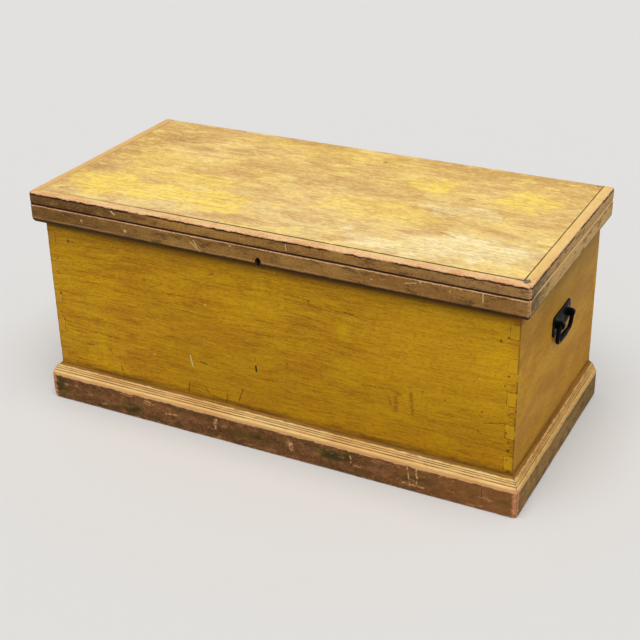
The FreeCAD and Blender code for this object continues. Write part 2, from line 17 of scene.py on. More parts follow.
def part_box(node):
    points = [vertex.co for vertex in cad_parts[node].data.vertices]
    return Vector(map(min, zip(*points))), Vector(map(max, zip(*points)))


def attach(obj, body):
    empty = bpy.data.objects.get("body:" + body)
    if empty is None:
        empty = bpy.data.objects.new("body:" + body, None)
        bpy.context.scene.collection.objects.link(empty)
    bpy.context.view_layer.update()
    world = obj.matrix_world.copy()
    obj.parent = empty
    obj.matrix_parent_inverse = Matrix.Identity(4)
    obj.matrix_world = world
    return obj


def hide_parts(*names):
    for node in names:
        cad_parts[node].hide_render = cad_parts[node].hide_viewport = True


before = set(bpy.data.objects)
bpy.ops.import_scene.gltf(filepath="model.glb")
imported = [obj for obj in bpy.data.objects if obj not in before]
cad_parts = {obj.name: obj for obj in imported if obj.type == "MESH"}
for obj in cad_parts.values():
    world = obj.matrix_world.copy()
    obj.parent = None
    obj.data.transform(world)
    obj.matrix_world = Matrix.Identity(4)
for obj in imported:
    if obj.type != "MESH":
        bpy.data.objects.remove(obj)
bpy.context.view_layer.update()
print(len(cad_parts), "nodes loaded")

# %% [markdown]
# The places that the dressing needs are read off the CAD pieces, so they can't drift apart.
# The shader formulas work in millimetres, because the marks on the chest were measured so,
# and end_x, front_y and back_y are the carcass's faces in that unit.

# %% Read the chest's main places
mm = 0.001
plinth_low, plinth_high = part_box("plinth_front")
strip_low, strip_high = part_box("strip_front")
edge_low, edge_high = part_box("lid_edge_front")
carcass_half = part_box("front_board")[1].x
carcass_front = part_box("front_board")[0].y
carcass_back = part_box("back_board")[1].y
board_thickness = carcass_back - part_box("back_board")[0].y
lid_top = edge_high.z
lid_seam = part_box("lid_board_front")[1].y
end_x, front_y, back_y = carcass_half / mm, carcass_front / mm, carcass_back / mm
print("the carcass is", round(2 * end_x), "mm long and", round(back_y - front_y), "mm deep")

# %% [markdown]
# Node trees are written as ordinary sums. A Signal wraps one socket and knows the tree that
# it belongs to, so adding two Signals adds a Math node. Python asks the right-hand side when
# the left one is a plain number, so each sum has a reflected form too.

# %% Write sums of sockets
def sum_with(operation, reflected=False):
    """A method of Signal that adds one Math node for an operator."""
    def method(self, other):
        pair = (other, self) if reflected else (self, other)
        return self.graph.math(operation, *pair)
    return method


class Signal:
    """One socket of a node tree that can be used in sums."""

    def __init__(self, graph, socket):
        self.graph = graph
        self.socket = socket

    __add__, __radd__ = sum_with("ADD"), sum_with("ADD", True)
    __sub__, __rsub__ = sum_with("SUBTRACT"), sum_with("SUBTRACT", True)
    __mul__, __rmul__ = sum_with("MULTIPLY"), sum_with("MULTIPLY", True)
    __truediv__, __rtruediv__ = sum_with("DIVIDE"), sum_with("DIVIDE", True)

    def __neg__(self):
        return self * -1.0

    def __abs__(self):
        return self.graph.math("ABSOLUTE", self)


print("a Signal knows", sum(name.endswith("__") for name in vars(Signal)), "special names")

# %% [markdown]
# A Graph fills a node tree by calls. Its node method makes any node from its type, its
# settings and what its sockets hold; the other methods are short names for what recurs. The
# same class serves the materials, the world and the Geometry Nodes trees.

# %% Fill a node tree by calls
class Graph:
    """A node tree that is filled by method calls."""

    def __init__(self, tree):
        self.tree = tree

    def node(self, kind, settings=None, sockets=None, output=0):
        made = self.tree.nodes.new(kind)
        for name, value in (settings or {}).items():
            setattr(made, name, value)
        for key, value in (sockets or {}).items():
            self.feed(made.inputs[key], value)
        return Signal(self, made.outputs[output]) if made.outputs else None

    def feed(self, socket, value):
        if isinstance(value, Signal):
            self.tree.links.new(value.socket, socket)
        else:
            socket.default_value = value

    def math(self, operation, first, second=0.0):
        return self.node("ShaderNodeMath", {"operation": operation}, {0: first, 1: second})

    def vector(self, operation, first, second=(0, 0, 0), third=(0, 0, 0), output=0):
        return self.node("ShaderNodeVectorMath", {"operation": operation},
                         {0: first, 1: second, 2: third}, output)

    def scaled(self, value, factor):
        return self.node("ShaderNodeVectorMath", {"operation": "SCALE"}, {0: value, 3: factor})

    def joined(self, x, y, z):
        return self.node("ShaderNodeCombineXYZ", None, {0: x, 1: y, 2: z})

    def parts(self, value):
        return [self.node("ShaderNodeSeparateXYZ", None, {0: value}, axis) for axis in range(3)]

    def lower(self, first, second):
        return self.math("MINIMUM", first, second)

    def higher(self, first, second):
        return self.math("MAXIMUM", first, second)

    def most(self, shares):
        """The largest of several shares."""
        total = shares[0]
        for share in shares[1:]:
            total = self.higher(total, share)
        return total

    def kept(self, value):
        """The value held between 0 and 1."""
        return self.lower(self.higher(value, 0.0), 1.0)

    def smooth(self, value, start, end):
        """0 before the start and 1 after the end, with a soft step between them."""
        return self.node("ShaderNodeMapRange", {"interpolation_type": "SMOOTHSTEP"},
                         {0: value, 1: start, 2: end, 3: 0.0, 4: 1.0})


print("a Graph has", sum(callable(call) for call in vars(Graph).values()), "calls")

# %% [markdown]
# Colours are written as the eye reads them on a screen, from 0 to 255, since they were
# matched so. The renderer adds light up in linear values, so each is converted once.

# %% Turn a screen colour into light
def paint(red, green, blue):
    """A screen colour, 0 to 255, in the renderer's linear values."""
    def linear(level):
        share = level / 255
        return share / 12.92 if share <= 0.04045 else ((share + 0.055) / 1.055) ** 2.4
    return (linear(red), linear(green), linear(blue), 1.0)


print("mustard in linear values:", [round(level, 3) for level in paint(204, 150, 8)[:3]])

# %% [markdown]
# A Finish is the material of one kind of piece. It starts from the place on the piece in
# millimetres: along the grain, across the board's thickness, and up. A moulding carries that
# place with it as an attribute called run, because it was measured along its own length. Old
# paint is a stack of thin coats that each show in some places, so coats takes a table of
# them: the noise that decides, the values between which the coat comes in, its strength and
# its colour.

# %% Describe a finish
class Finish(Graph):
    """A procedural material, with the place on the piece in millimetres."""

    def __init__(self, name, grain="x"):
        self.material = bpy.data.materials.new(name)
        self.material.use_nodes = True
        super().__init__(self.material.node_tree)
        self.tree.nodes.clear()
        world = self.node("ShaderNodeTexCoord", output="Object")
        self.world = self.vector("MULTIPLY", world, (1000, 1000, 1000))
        self.x, self.y, self.z = self.parts(self.world)
        self.place = self.world
        if grain == "run":
            run = self.node("ShaderNodeAttribute", {"attribute_name": "run"}, output="Vector")
            self.place = self.vector("MULTIPLY", run, (1000, 1000, 1000))
        if grain == "y":
            self.place = self.joined(self.y, self.x, self.z)
        self.out, self.up = self.parts(self.place)[1:]

    def noise(self, scale, detail=2.0, rough=0.5, seed=0.0, where=None, output=0):
        """Soft noise; scale is in waves per millimetre along, across and up."""
        shift = (seed * 7.31, seed * 3.77, seed * 5.13)
        spot = self.vector("MULTIPLY_ADD", where or self.place, scale, shift)
        return self.node("ShaderNodeTexNoise", None,
                         {"Vector": spot, "Scale": 1.0, "Detail": detail, "Roughness": rough},
                         output)

    def mix(self, share, first, second):
        return self.node("ShaderNodeMix", {"data_type": "RGBA"},
                         {0: share, 6: first, 7: second}, 2)

    def coats(self, colour, *layers):
        """Lay coats over a colour: (what decides, from, to, strength, red green blue)."""
        for field, start, end, strength, coat in layers:
            colour = self.mix(self.smooth(field, start, end) * strength, colour, paint(*coat))
        return colour

    def over(self, colour, *layers):
        """Lay colours over a colour: (how much of it shows, red green blue)."""
        for share, coat in layers:
            colour = self.mix(share, colour, paint(*coat))
        return colour

    def dots(self, size, radius, chance, seed):
        """Round dots in cells of one size in mm, kept in a few cells by chance."""
        shift = (seed * 1.7, seed * 2.3, seed * 3.1)
        spot = self.vector("MULTIPLY_ADD", self.place, (1 / size, 1 / size, 1 / size), shift)
        cell = self.node("ShaderNodeTexVoronoi", None, {"Vector": spot, "Scale": 1.0}, "Distance")
        pick = self.parts(Signal(self, cell.socket.node.outputs["Color"]))
        wide = radius * (0.4 + pick[1])
        kept = self.smooth(pick[0], 1 - chance, 1.001 - chance)
        return self.smooth(cell, wide, wide * 0.55) * kept

    def close(self, colour, roughness, height=None, depth=0.3, metallic=0.0, sheen=0.1):
        """End the material; height is in mm of relief."""
        sockets = {"Base Color": colour, "Roughness": roughness, "Metallic": metallic,
                   "Specular IOR Level": sheen}
        if height is not None:
            sockets["Normal"] = self.node("ShaderNodeBump", None,
                                          {"Strength": 1.0, "Distance": depth * mm,
                                           "Height": height})
        shader = self.node("ShaderNodeBsdfPrincipled", None, sockets)
        self.node("ShaderNodeOutputMaterial", None, {"Surface": shader})
        return self.material


print("a Finish adds", [name for name in vars(Finish) if not name.startswith("_")])

# %% [markdown]
# Knocks and stains sit at known places of one face. A Face is a flat plane over it, in which a
# dot, a stroke and a zone are distances, with no picture and no mesh behind them. Its
# coordinates are pushed about a little by noise, so that no mark has a clean outline.

# %% Draw marks on one face
class Face:
    """A flat drawing plane over one face, torn by noise; keep says which axes it spans."""

    def __init__(self, f, keep, noise, reach):
        self.f = f
        self.keep = keep
        flat = f.vector("MULTIPLY", f.world, keep)
        centred = f.vector("ADD", flat, [-part / 2 for part in reach])
        self.plane = f.vector("MULTIPLY_ADD", noise, reach, centred)

    def spot(self, first, second):
        """Two measures on the face as a point in space."""
        return (first, second, 0) if self.keep[1] else (first, 0, second)

    def gap(self, first, second):
        """How far the surface is from a spot on the face, in mm."""
        return self.f.vector("DISTANCE", self.plane, self.spot(first, second), output=1)

    def dot(self, first, second, radius, core=0.3):
        return self.f.smooth(self.gap(first, second), radius, radius * core)

    def stroke(self, start, end, width, soft=0.6):
        """1 within a width of the line from start to end, all in mm."""
        begin = Vector(self.spot(*start))
        reach = Vector(self.spot(*end)) - begin
        away = self.f.vector("SUBTRACT", self.plane, begin)
        share = self.f.vector("DOT_PRODUCT", away, reach / reach.length_squared, output=1)
        gap = self.f.vector("MULTIPLY_ADD", self.f.kept(share), -reach, away)
        return self.f.smooth(self.f.vector("LENGTH", gap, output=1), width, width * (1 - soft))

    def zone(self, first, second, long, tall, rim=1.0, core=0.55):
        """1 inside an ellipse of these half sizes, with a soft rim."""
        away = self.f.vector("SUBTRACT", self.plane, self.spot(first, second))
        gap = self.f.vector("MULTIPLY", away, self.spot(1 / long, 1 / tall))
        return self.f.smooth(self.f.vector("LENGTH", gap, output=1), rim, core)

    def dots(self, table, core=0.3):
        return self.f.most([self.dot(*row, core) for row in table])

    def strokes(self, table, soft=0.6):
        return self.f.most([self.stroke(*row, soft) for row in table])

    def zones(self, table, rim=1.0, core=0.55):
        """Zones, each with its strength as the last measure."""
        return self.f.most([self.zone(*row, rim, core) * strength for *row, strength in table])


print("a Face draws", [name for name in vars(Face) if not name.startswith("_")])

# %% [markdown]
# The plinth, the strips and the lid's edging are all lengths of moulding: a closed outline
# that is swept along one side of the chest and mitred at the front corners. A joiner would
# stick the moulding with a moulding plane and cut the mitres in a box. Here each outline is
# a ring of points that starts at the carcass, with arcs laid through three points each.

# %% Draw an arc and an eased bar
def bend(start, middle, end, count):
    """Points along the arc through three points, without the first one."""
    ax, ay = start
    bx, by = middle
    cx, cy = end
    turn = 2 * (ax * (by - cy) + bx * (cy - ay) + cx * (ay - by))
    aa, bb, cc = ax * ax + ay * ay, bx * bx + by * by, cx * cx + cy * cy
    x = (aa * (by - cy) + bb * (cy - ay) + cc * (ay - by)) / turn
    y = (aa * (cx - bx) + bb * (ax - cx) + cc * (bx - ax)) / turn
    radius = math.hypot(ax - x, ay - y)
    first = math.atan2(ay - y, ax - x)
    sweep = math.atan2(cy - y, cx - x) - first
    if turn > 0 and sweep < 0:
        sweep += 2 * math.pi
    if turn < 0 and sweep > 0:
        sweep -= 2 * math.pi
    return [(x + radius * math.cos(first + sweep * step / count),
             y + radius * math.sin(first + sweep * step / count)) for step in range(1, count + 1)]


def eased(reach, height, lower, upper):
    """A flat moulding with a rounded lower and upper arris, from its inner lower corner."""
    root = 1 - math.sqrt(0.5)
    points = [(0, 0), (reach - lower, 0)]
    points += bend(points[-1], (reach - lower * root, lower * root), (reach, lower), 8)
    room = height - lower - upper
    points += [(reach, lower + room * share) for share in (0.15, 0.5, 0.85)]
    points.append((reach, height - upper))
    points += bend(points[-1], (reach - upper * root, height - upper * root),
                   (reach - upper, height), 6)
    points += [(reach - upper - 2 * mm, height), (0, height)]
    return points


strip_reach = carcass_front - strip_low.y
strip_outline = eased(strip_reach, strip_high.z - strip_low.z, 12 * mm, 1.5 * mm)
edge_outline = eased(strip_reach, edge_high.z - edge_low.z, 1.8 * mm, 4.5 * mm)
print("the strip's outline has", len(strip_outline), "points")

# %% [markdown]
# The plinth's board has a tall flat face with a stack of beads and quirks above it. They are
# kept as shares of how far the moulding stands out and how high it is, so they follow the
# plinth's size. A row with two points is an arc through the first one, and a row with one
# point is a short flat step.

# %% Draw the plinth's outline
plinth_reach = carcass_front - plinth_low.y
plinth_moulding_height = 24 * mm
plinth_face = plinth_high.z - plinth_moulding_height
plinth_shares = [
    ((0.93, 0.24), (0.76, 0.40)), ((0.71, 0.40),), ((0.72, 0.50), (0.63, 0.59)), ((0.58, 0.59),),
    ((0.60, 0.66), (0.53, 0.73)), ((0.48, 0.73),), ((0.50, 0.80), (0.41, 0.86)),
    ((0.24, 0.90), (0.13, 1.00))]


def plinth_outline():
    """A tall flat face under a stack of beads, each an arc or a short step."""
    ease = 2.6 * mm
    points = [(0, 0), (plinth_reach - ease, 0)]
    points += bend(points[-1], (plinth_reach - ease * 0.3, ease * 0.3), (plinth_reach, ease), 4)
    points += [(plinth_reach, plinth_face * share) for share in (0.12, 0.3, 0.6, 0.9, 0.97)]
    points.append((plinth_reach, plinth_face))
    for step in plinth_shares:
        ends = [(out * plinth_reach, plinth_face + up * plinth_moulding_height)
                for out, up in step]
        points += bend(points[-1], ends[0], ends[1], 6) if len(ends) == 2 else ends
    points.append((0, plinth_high.z))
    return points


print("the plinth's outline has", len(plinth_outline()), "points")

# %% [markdown]
# One Geometry Nodes tree makes every length of moulding, because they differ in their sizes
# alone. A tree needs named inputs, and here both trees of the lesson get them from one
# function. What leaves a tree is made real and gets its finish, since an export drops
# instances.

# %% Begin and end a tree
def tree_with(name, result, inputs):
    """The graph of a new Geometry Nodes tree, and its inputs as signals."""
    tree = bpy.data.node_groups.new(name, "GeometryNodeTree")
    for label, kind in inputs:
        tree.interface.new_socket(label, in_out="INPUT", socket_type="NodeSocket" + kind)
    tree.interface.new_socket(result, in_out="OUTPUT", socket_type="NodeSocketGeometry")
    graph = Graph(tree)
    entry = tree.nodes.new("NodeGroupInput")
    return graph, {socket.name: Signal(graph, socket) for socket in entry.outputs if socket.name}


def finish_tree(graph, geometry, finish):
    """Make the geometry real, give it its finish and send it out."""
    real = graph.node("GeometryNodeRealizeInstances", None, {"Geometry": geometry})
    done = graph.node("GeometryNodeSetMaterial", None, {"Geometry": real, "Material": finish})
    graph.feed(graph.tree.nodes.new("NodeGroupOutput").inputs[0], done)


def stored(graph, geometry, kind, name, value):
    return graph.node("GeometryNodeStoreNamedAttribute", {"data_type": kind},
                      {"Geometry": geometry, "Name": name, "Value": value})


def named(graph, kind, name):
    return graph.node("GeometryNodeInputNamedAttribute", {"data_type": kind}, {"Name": name})


graph, given = tree_with("moulding", "Moulding", [
    ("Outline", "Geometry"), ("Start", "Vector"), ("End", "Vector"), ("Outward", "Vector"),
    ("Start Mitre", "Float"), ("End Mitre", "Float"), ("Reach", "Float"),
    ("Start Round", "Float"), ("End Round", "Float"), ("Foot Round", "Float"),
    ("Wear", "Float"), ("Stations", "Int"), ("Seed", "Float"), ("Finish", "Material")])
moulding = graph.tree
print("the moulding tree has", len(given), "inputs")

# %% [markdown]
# The tree first sweeps the outline along a line of stations. Each point keeps two facts:
# share says how far along the line its station is, and cut says where it lies in the
# outline. The real shape is then worked out from those two alone.

# %% Sweep the outline
line = graph.node("GeometryNodeCurvePrimitiveLine", None, {"End": (0, 0, 1)})
line = graph.node("GeometryNodeResampleCurve", None, {"Curve": line, "Count": given["Stations"]})
line = stored(graph, line, "FLOAT", "share",
              graph.node("GeometryNodeSplineParameter", output="Factor"))
outline = stored(graph, given["Outline"], "FLOAT_VECTOR", "cut",
                 graph.node("GeometryNodeInputPosition"))
outline = graph.node("GeometryNodeMeshToCurve", None, {"Mesh": outline})
swept = graph.node("GeometryNodeCurveToMesh", None,
                   {"Curve": line, "Profile Curve": outline, "Fill Caps": True})
share = named(graph, "FLOAT", "share")
out, up = graph.parts(named(graph, "FLOAT_VECTOR", "cut"))[:2]
print("so far the tree has", len(moulding.nodes), "nodes")

# %% [markdown]
# The stations stand closer near both ends, where the corner is. A mitred end runs past the
# carcass by as much as the point stands out from it, which gives the 45 degrees. The real
# corners are rubbed round, so points past a ring near the corner are pulled back onto it.

# %% Mitre the ends and round the corners
close = share - 0.85 * graph.math("SINE", share * math.tau) / math.tau
whole = graph.vector("SUBTRACT", given["End"], given["Start"])
span = graph.vector("LENGTH", whole, output=1)
along = graph.vector("NORMALIZE", whole)
first = -out * given["Start Mitre"]
last = span + out * given["End Mitre"]
here = first + (last - first) * close
at_start = graph.math("LESS_THAN", close, 0.5)
corner_round = given["End Round"] + (given["Start Round"] - given["End Round"]) * at_start
corner_round = corner_round + given["Foot Round"] * graph.smooth(up, 16 * mm, 0.0)
ring = given["Reach"] - corner_round
aside = graph.higher(out - ring, 0.00001)
past_start = graph.higher(-here - ring, 0.0) * given["Start Mitre"]
past_end = graph.higher(here - span - ring, 0.0) * given["End Mitre"]
past = past_start + past_end
far = graph.math("SQRT", past * past + aside * aside)
pull = (1.0 - aside / far) * graph.math("GREATER_THAN", past, 0.000001)
here = here + (past_start - past_end) * pull
out = out - aside * pull
spot = graph.vector("ADD", given["Start"], graph.scaled(along, here))
spot = graph.vector("ADD", spot, graph.scaled(given["Outward"], out))
spot = graph.vector("ADD", spot, graph.joined(0.0, 0.0, up))
placed = graph.node("GeometryNodeSetPosition", None, {"Geometry": swept, "Position": spot})
placed = stored(graph, placed, "FLOAT_VECTOR", "run", graph.joined(here, out, up))
print("so far the tree has", len(moulding.nodes), "nodes")

# %% [markdown]
# Noise of a fixed seed bruises the arrises, more on sharp points than on flats, since a chest
# is worn where it is bumped. A bump map could shade such dents but never break the outline.
# At the mitres both lengths are pressed in alike, so that they still meet.

# %% Bruise the arrises
worn = named(graph, "FLOAT", "arris")
place = graph.joined(here * 1000 + given["Seed"] * 37.0, out * 1000, up * 1000)
knocks, slow = [graph.node("ShaderNodeTexNoise", None,
                           {"Vector": graph.vector("MULTIPLY", place, scale), "Scale": 1.0,
                            "Detail": detail, "Roughness": rough})
                for scale, detail, rough in (((0.09, 0.2, 0.2), 4.0, 0.65),
                                             ((0.012, 0.02, 0.02), 1.0, 0.5))]
bite = worn * given["Wear"] * (0.15 + 0.5 * graph.smooth(slow, 0.42, 0.66)
                               + 1.9 * graph.smooth(knocks, 0.56, 0.78))
mitre = graph.higher(graph.smooth(here, 8 * mm, 0.0) * given["Start Mitre"],
                     graph.smooth(span - here, 8 * mm, 0.0) * given["End Mitre"])
bite = bite * (1.0 - mitre) + worn * given["Wear"] * 0.4 * mitre
inward = graph.scaled(graph.node("GeometryNodeInputNormal"), -bite)
finish_tree(graph, graph.node("GeometryNodeSetPosition", None,
                              {"Geometry": placed, "Offset": inward}), given["Finish"])
print("the moulding tree has", len(moulding.nodes), "nodes")

# %% [markdown]
# A tree works on the mesh of the object that carries it, so an outline becomes a ring of
# edges, and each of its points is marked with how sharply the outline turns there. The
# modifier's inputs are set by their identifiers before the first evaluation, and the result
# is kept as a plain mesh.

# %% Carry an outline and keep what the tree makes
def plain_mesh(carrier):
    """What the modifiers of an object make of it, as a mesh of its own."""
    bpy.context.view_layer.update()
    scene = bpy.context.evaluated_depsgraph_get()
    return bpy.data.meshes.new_from_object(carrier.evaluated_get(scene),
                                           preserve_all_data_layers=True, depsgraph=scene)


def applied(carrier, tree, values):
    """The mesh that a Geometry Nodes tree makes on a carrier, as a plain mesh."""
    modifier = carrier.modifiers.new(tree.name, "NODES")
    modifier.node_group = tree
    names = {item.name: item.identifier for item in tree.interface.items_tree
             if item.in_out == "INPUT"}
    for name, value in values.items():
        modifier[names[name]] = value
    mesh = plain_mesh(carrier)
    carrier.modifiers.remove(modifier)
    return mesh


def linked(name, mesh):
    """A new object of a mesh, in the scene."""
    thing = bpy.data.objects.new(name, mesh)
    bpy.context.scene.collection.objects.link(thing)
    return thing


def wire(name, points, marks):
    """A closed ring of points in the XY plane; marks gives each its share of wear."""
    mesh = bpy.data.meshes.new(name)
    count = len(points)
    mesh.from_pydata([(x, y, 0) for x, y in reversed(points)],
                     [(step, (step + 1) % count) for step in range(count)], [])
    layer = mesh.attributes.new("arris", "FLOAT", "POINT")
    layer.data.foreach_set("value", list(reversed(marks)))
    return linked(name, mesh)


def turn_marks(points, tight, beads=(1.0, 1.0)):
    """1 where the outline turns sharply within a tight length, and little in the fine beads."""
    marks = []
    for step, (x, y) in enumerate(points):
        before = Vector(points[step - 1]) - Vector((x, y))
        after = Vector(points[(step + 1) % len(points)]) - Vector((x, y))
        bent = math.pi - before.angle(after, math.pi)
        close_by = min(before.length, after.length) < tight
        mark = min(1.0, bent / 0.25) if close_by and x > 0.5 * mm else 0.0
        marks.append(mark * 0.1 if beads[0] < y < beads[1] else mark)
    return marks


print("marks of the strip:", [round(mark, 1) for mark in turn_marks(strip_outline, 2 * mm)])

# %% [markdown]
# The boards themselves come from the CAD, with their dovetails, rebates and screw holes. A
# board that has been in use for a century has no sharp arris left where hands and boots reach
# it. How deep an arris is pressed in at a place must be steady from run to run, so it comes
# from a formula, not from a random number.

# %% Steady bumps along an arris
def hashed(value):
    """A steady number from 0 to 1 for a place along an arris."""
    raw = math.sin(value * 127.1 + 311.7) * 43758.5453
    return raw - math.floor(raw)


def rolling(value):
    """Hashed numbers joined into a soft curve."""
    low = math.floor(value)
    share = value - low
    share = share * share * (3 - 2 * share)
    return hashed(low) * (1 - share) + hashed(low + 1) * share


print("bumps:", [round(rolling(step / 2), 2) for step in range(6)])

# %% [markdown]
# A CAD mesh is loose triangles, so a copy of it is merged and its flat faces are joined
# before it is worked on. Flat faces stay shaded flat, or the smooth shading of a rounded
# arris would bend the light across a whole board.

# %% Work on a copy of a CAD piece
def merged(node):
    """A CAD board's mesh with its loose triangles joined into flat faces."""
    board = bmesh.new()
    board.from_mesh(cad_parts[node].data)
    bmesh.ops.remove_doubles(board, verts=board.verts, dist=0.01 * mm)
    bmesh.ops.dissolve_limit(board, angle_limit=math.radians(1), verts=board.verts,
                             edges=board.edges)
    return board


def as_mesh(name, work):
    """The worked shape as a mesh."""
    mesh = bpy.data.meshes.new(name)
    work.to_mesh(mesh)
    work.free()
    return mesh


def level(mesh):
    """Shade the flat faces flat, so that no arris or hole bends the light across them."""
    for face in mesh.polygons:
        face.use_smooth = max(abs(part) for part in face.normal) < 0.999


def bevelled(work, edges, ease, segments, profile):
    bmesh.ops.bevel(work, geom=edges, offset=ease, offset_type="OFFSET", segments=segments,
                    profile=profile, affect="EDGES", clamp_overlap=True)


def dressed(name, mesh, finish, body, *nodes):
    """Put a finished mesh into the scene on its body, in place of its CAD nodes."""
    piece = linked(name, mesh)
    if finish:
        mesh.materials.clear()
        mesh.materials.append(finish)
    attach(piece, body)
    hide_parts(*nodes)
    return piece


print("the front board has", len(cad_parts["front_board"].data.polygons), "triangles")

# %% [markdown]
# Each exposed arris of a board gets a row of stations, is rounded there with a few facets,
# and has the facets pressed in by different amounts along its length, as knocks would.

# %% Ease the arrises of a board
station, knock_reach = 5 * mm, 4.5 * mm


def stations(board, edge, count):
    """Split one arris into equal lengths and give back all of them."""
    made = [edge]
    start = edge.verts[0]
    for left in range(count, 0, -1):
        piece, point = bmesh.utils.edge_split(edge, start, 1 / (left + 1))
        made.append(piece)
        edge = piece if start not in piece.verts else edge
        start = point
    return made


def worn_board(name, node, exposed, ease, wear, finish, body, seed):
    """A board whose exposed arrises are eased, in place of its CAD node."""
    board = merged(node)
    arrises = []
    for edge in list(board.edges):
        sharp = len(edge.link_faces) == 2 and edge.calc_face_angle(0) > 0.8
        if sharp and exposed(edge.verts[0].co) and exposed(edge.verts[1].co):
            arrises += stations(board, edge, int(edge.calc_length() / station))
    arrises = list(set(arrises))
    spots = [(edge.verts[0].co + edge.verts[1].co) / 2 for edge in arrises]
    old = set(board.verts)
    bevelled(board, arrises, ease, 4, 0.65)
    board.normal_update()
    for vert in set(board.verts) - old if spots else ():
        if min((vert.co - spot).length for spot in spots) < knock_reach:
            place = sum(vert.co) / mm + seed * 91
            knock = max(0, rolling(place / 9) - 0.55) * 2 + 0.4 * rolling(place / 60)
            inner = 1 if len(vert.link_edges) == 4 else 0
            vert.co -= vert.normal * wear * knock * inner * 0.5
    mesh = as_mesh(name, board)
    level(mesh)
    return dressed(name, mesh, finish, body, node)


print("an arris as long as the chest gets", int(2 * carcass_half / station), "stations")

# %% [markdown]
# Pine shows long streaks along the board, so the grain is noise that is stretched that way.
# Unpainted faces get darker rings drawn out in the same direction. Both are functions that
# take a finish and give back a value or a colour, so every board shares them.

# %% Old pine and its grain
def grain_streaks(f, seed, length=1.0):
    """Fine and broad streaks along the grain, each about 0 to 1."""
    bow = f.noise((0.004, 0.004, 0.006), 1, 0.5, seed + 11)
    lifted = f.vector("ADD", f.place, f.joined(0.0, 0.0, bow * 24))
    fine = f.noise((0.022 / length, 0.6, 0.62), 3, 0.62, seed, lifted)
    broad = f.noise((0.011 / length, 0.14, 0.17), 4, 0.62, seed + 3, lifted)
    return fine, broad


def bare_wood(f, seed, fine, broad):
    """Old unpainted pine, with its darker growth rings drawn out along the board."""
    rings = f.noise((0.0016, 0.05, 0.05), 2, 0.5, seed + 31)
    bands = f.math("FRACT", rings * 9)
    ring = f.smooth(bands, 0.55, 0.9) * f.smooth(bands, 1.0, 0.93)
    colour = f.coats(paint(214, 176, 122), (broad, 0.3, 0.7, 1.0, (196, 152, 96)))
    colour = f.over(colour, (ring * 0.55, (164, 112, 62)))
    return f.coats(colour, (fine, 0.55, 0.75, 0.5, (150, 108, 66)))


def pine_finish(name, grain, seed):
    f = Finish(name, grain)
    fine, broad = grain_streaks(f, seed)
    colour = bare_wood(f, seed, fine, broad)
    return f.close(colour, 0.62 + 0.15 * f.smooth(fine, 0.4, 0.7), fine * 0.6 + broad * 0.4, 0.4)


bare_pine = pine_finish("bare_pine", "y", 29)
print("bare pine takes", len(bare_pine.node_tree.nodes), "nodes")

# %% [markdown]
# The dovetails show through the paint as dark broken lines at the corners. The tails' pitch
# is known, so their outline is a distance that repeats up the corner, with no drawing of it
# anywhere.

# %% Find the dovetails
tail_pitch, first_tail, half_tail = 68.3, 104.3, 14.75


def joint_lines(f, seed):
    """Dark lines round the dovetails where their joints show, and the tails themselves."""
    step = f.math("FLOORED_MODULO", f.z - first_tail + tail_pitch / 2, tail_pitch) - tail_pitch / 2
    rows = f.smooth(f.z, 60, 66) * f.smooth(f.z, 420, 414)
    inward = end_x - board_thickness / mm - abs(f.x)
    edge = f.higher(abs(step) - half_tail, inward)
    ragged = f.noise((0.07, 0.07, 0.07), 3, 0.6, seed, f.world)
    wide = 0.3 + 1.3 * f.smooth(ragged, 0.5, 0.64)
    line = f.smooth(abs(edge), wide, wide * 0.4) * f.smooth(ragged, 0.38, 0.5)
    return line * rows, f.smooth(edge, 0.2, -0.4) * rows


print("tails at", [round(first_tail + tail_pitch * step) for step in range(5)], "mm up")

# %% [markdown]
# Dents, drips and flecks were measured on the real front, and are kept as short tables of
# places in millimetres: a stroke is its start, its end and its half width, and a dot is its
# middle and its radius. Noise breaks their edges up.

# %% Marks of the front
front_scars = [
    ((-27, 186), (-26, 171), 2.4), ((-28, 203), (-28, 196), 1.2), ((453, 179), (491, 189), 1.4),
    ((-495, 177), (-353, 172), 1.2), ((-439, 141), (-418, 143), 2.0), ((-384, 148), (-376, 131), 1.6),
    ((-357, 111), (-350, 79), 1.6), ((-186, 110), (-190, 85), 1.9), ((-150, 109), (-139, 93), 1.6),
    ((-96, 101), (-101, 83), 2.2), ((-59, 124), (-70, 94), 1.6), ((-124, 365), (-114, 369), 1.8),
    ((169, 346), (188, 344), 1.6), ((93, 354), (96, 350), 3.0)]
front_runs = [((277, 196), (276, 160), 8.0), ((307, 205), (311, 162), 7.0),
              ((268, 203), (284, 198), 6.0), ((206, 199), (262, 204), 2.6),
              ((-266, 310), (-241, 320), 2.0), ((262, 186), (266, 172), 6.0)]
front_spots = [
    (-461, 375, 6.0), (-451, 375, 3.4), (-279, 325, 2.4), (-396, 288, 2.0), (-493, 189, 3.6),
    (-429, 226, 2.2), (-443, 216, 2.2), (44, 206, 3.0), (-309, 113, 3.0), (-84, 144, 2.6),
    (-142, 302, 2.2), (448, 202, 3.0), (442, 159, 2.8), (375, 207, 2.4)]
joint_spots = [
    (477, 355, 4.0), (491, 364, 3.4), (495, 287, 3.2), (489, 266, 2.6), (499, 209, 2.8),
    (496, 169, 3.0), (500, 149, 2.4), (501, 132, 5.0), (499, 112, 2.6), (504, 87, 6.0),
    (-498, 300, 3.0), (-496, 250, 4.0), (-500, 205, 3.0), (-494, 330, 2.6)]
front_flecks = [(22, 398, 2.2), (-137, 297, 2.6), (-268, 156, 2.4), (-45, 237, 1.8),
                (447, 356, 1.8), (441, 269, 2.0), (-479, 318, 2.2)]


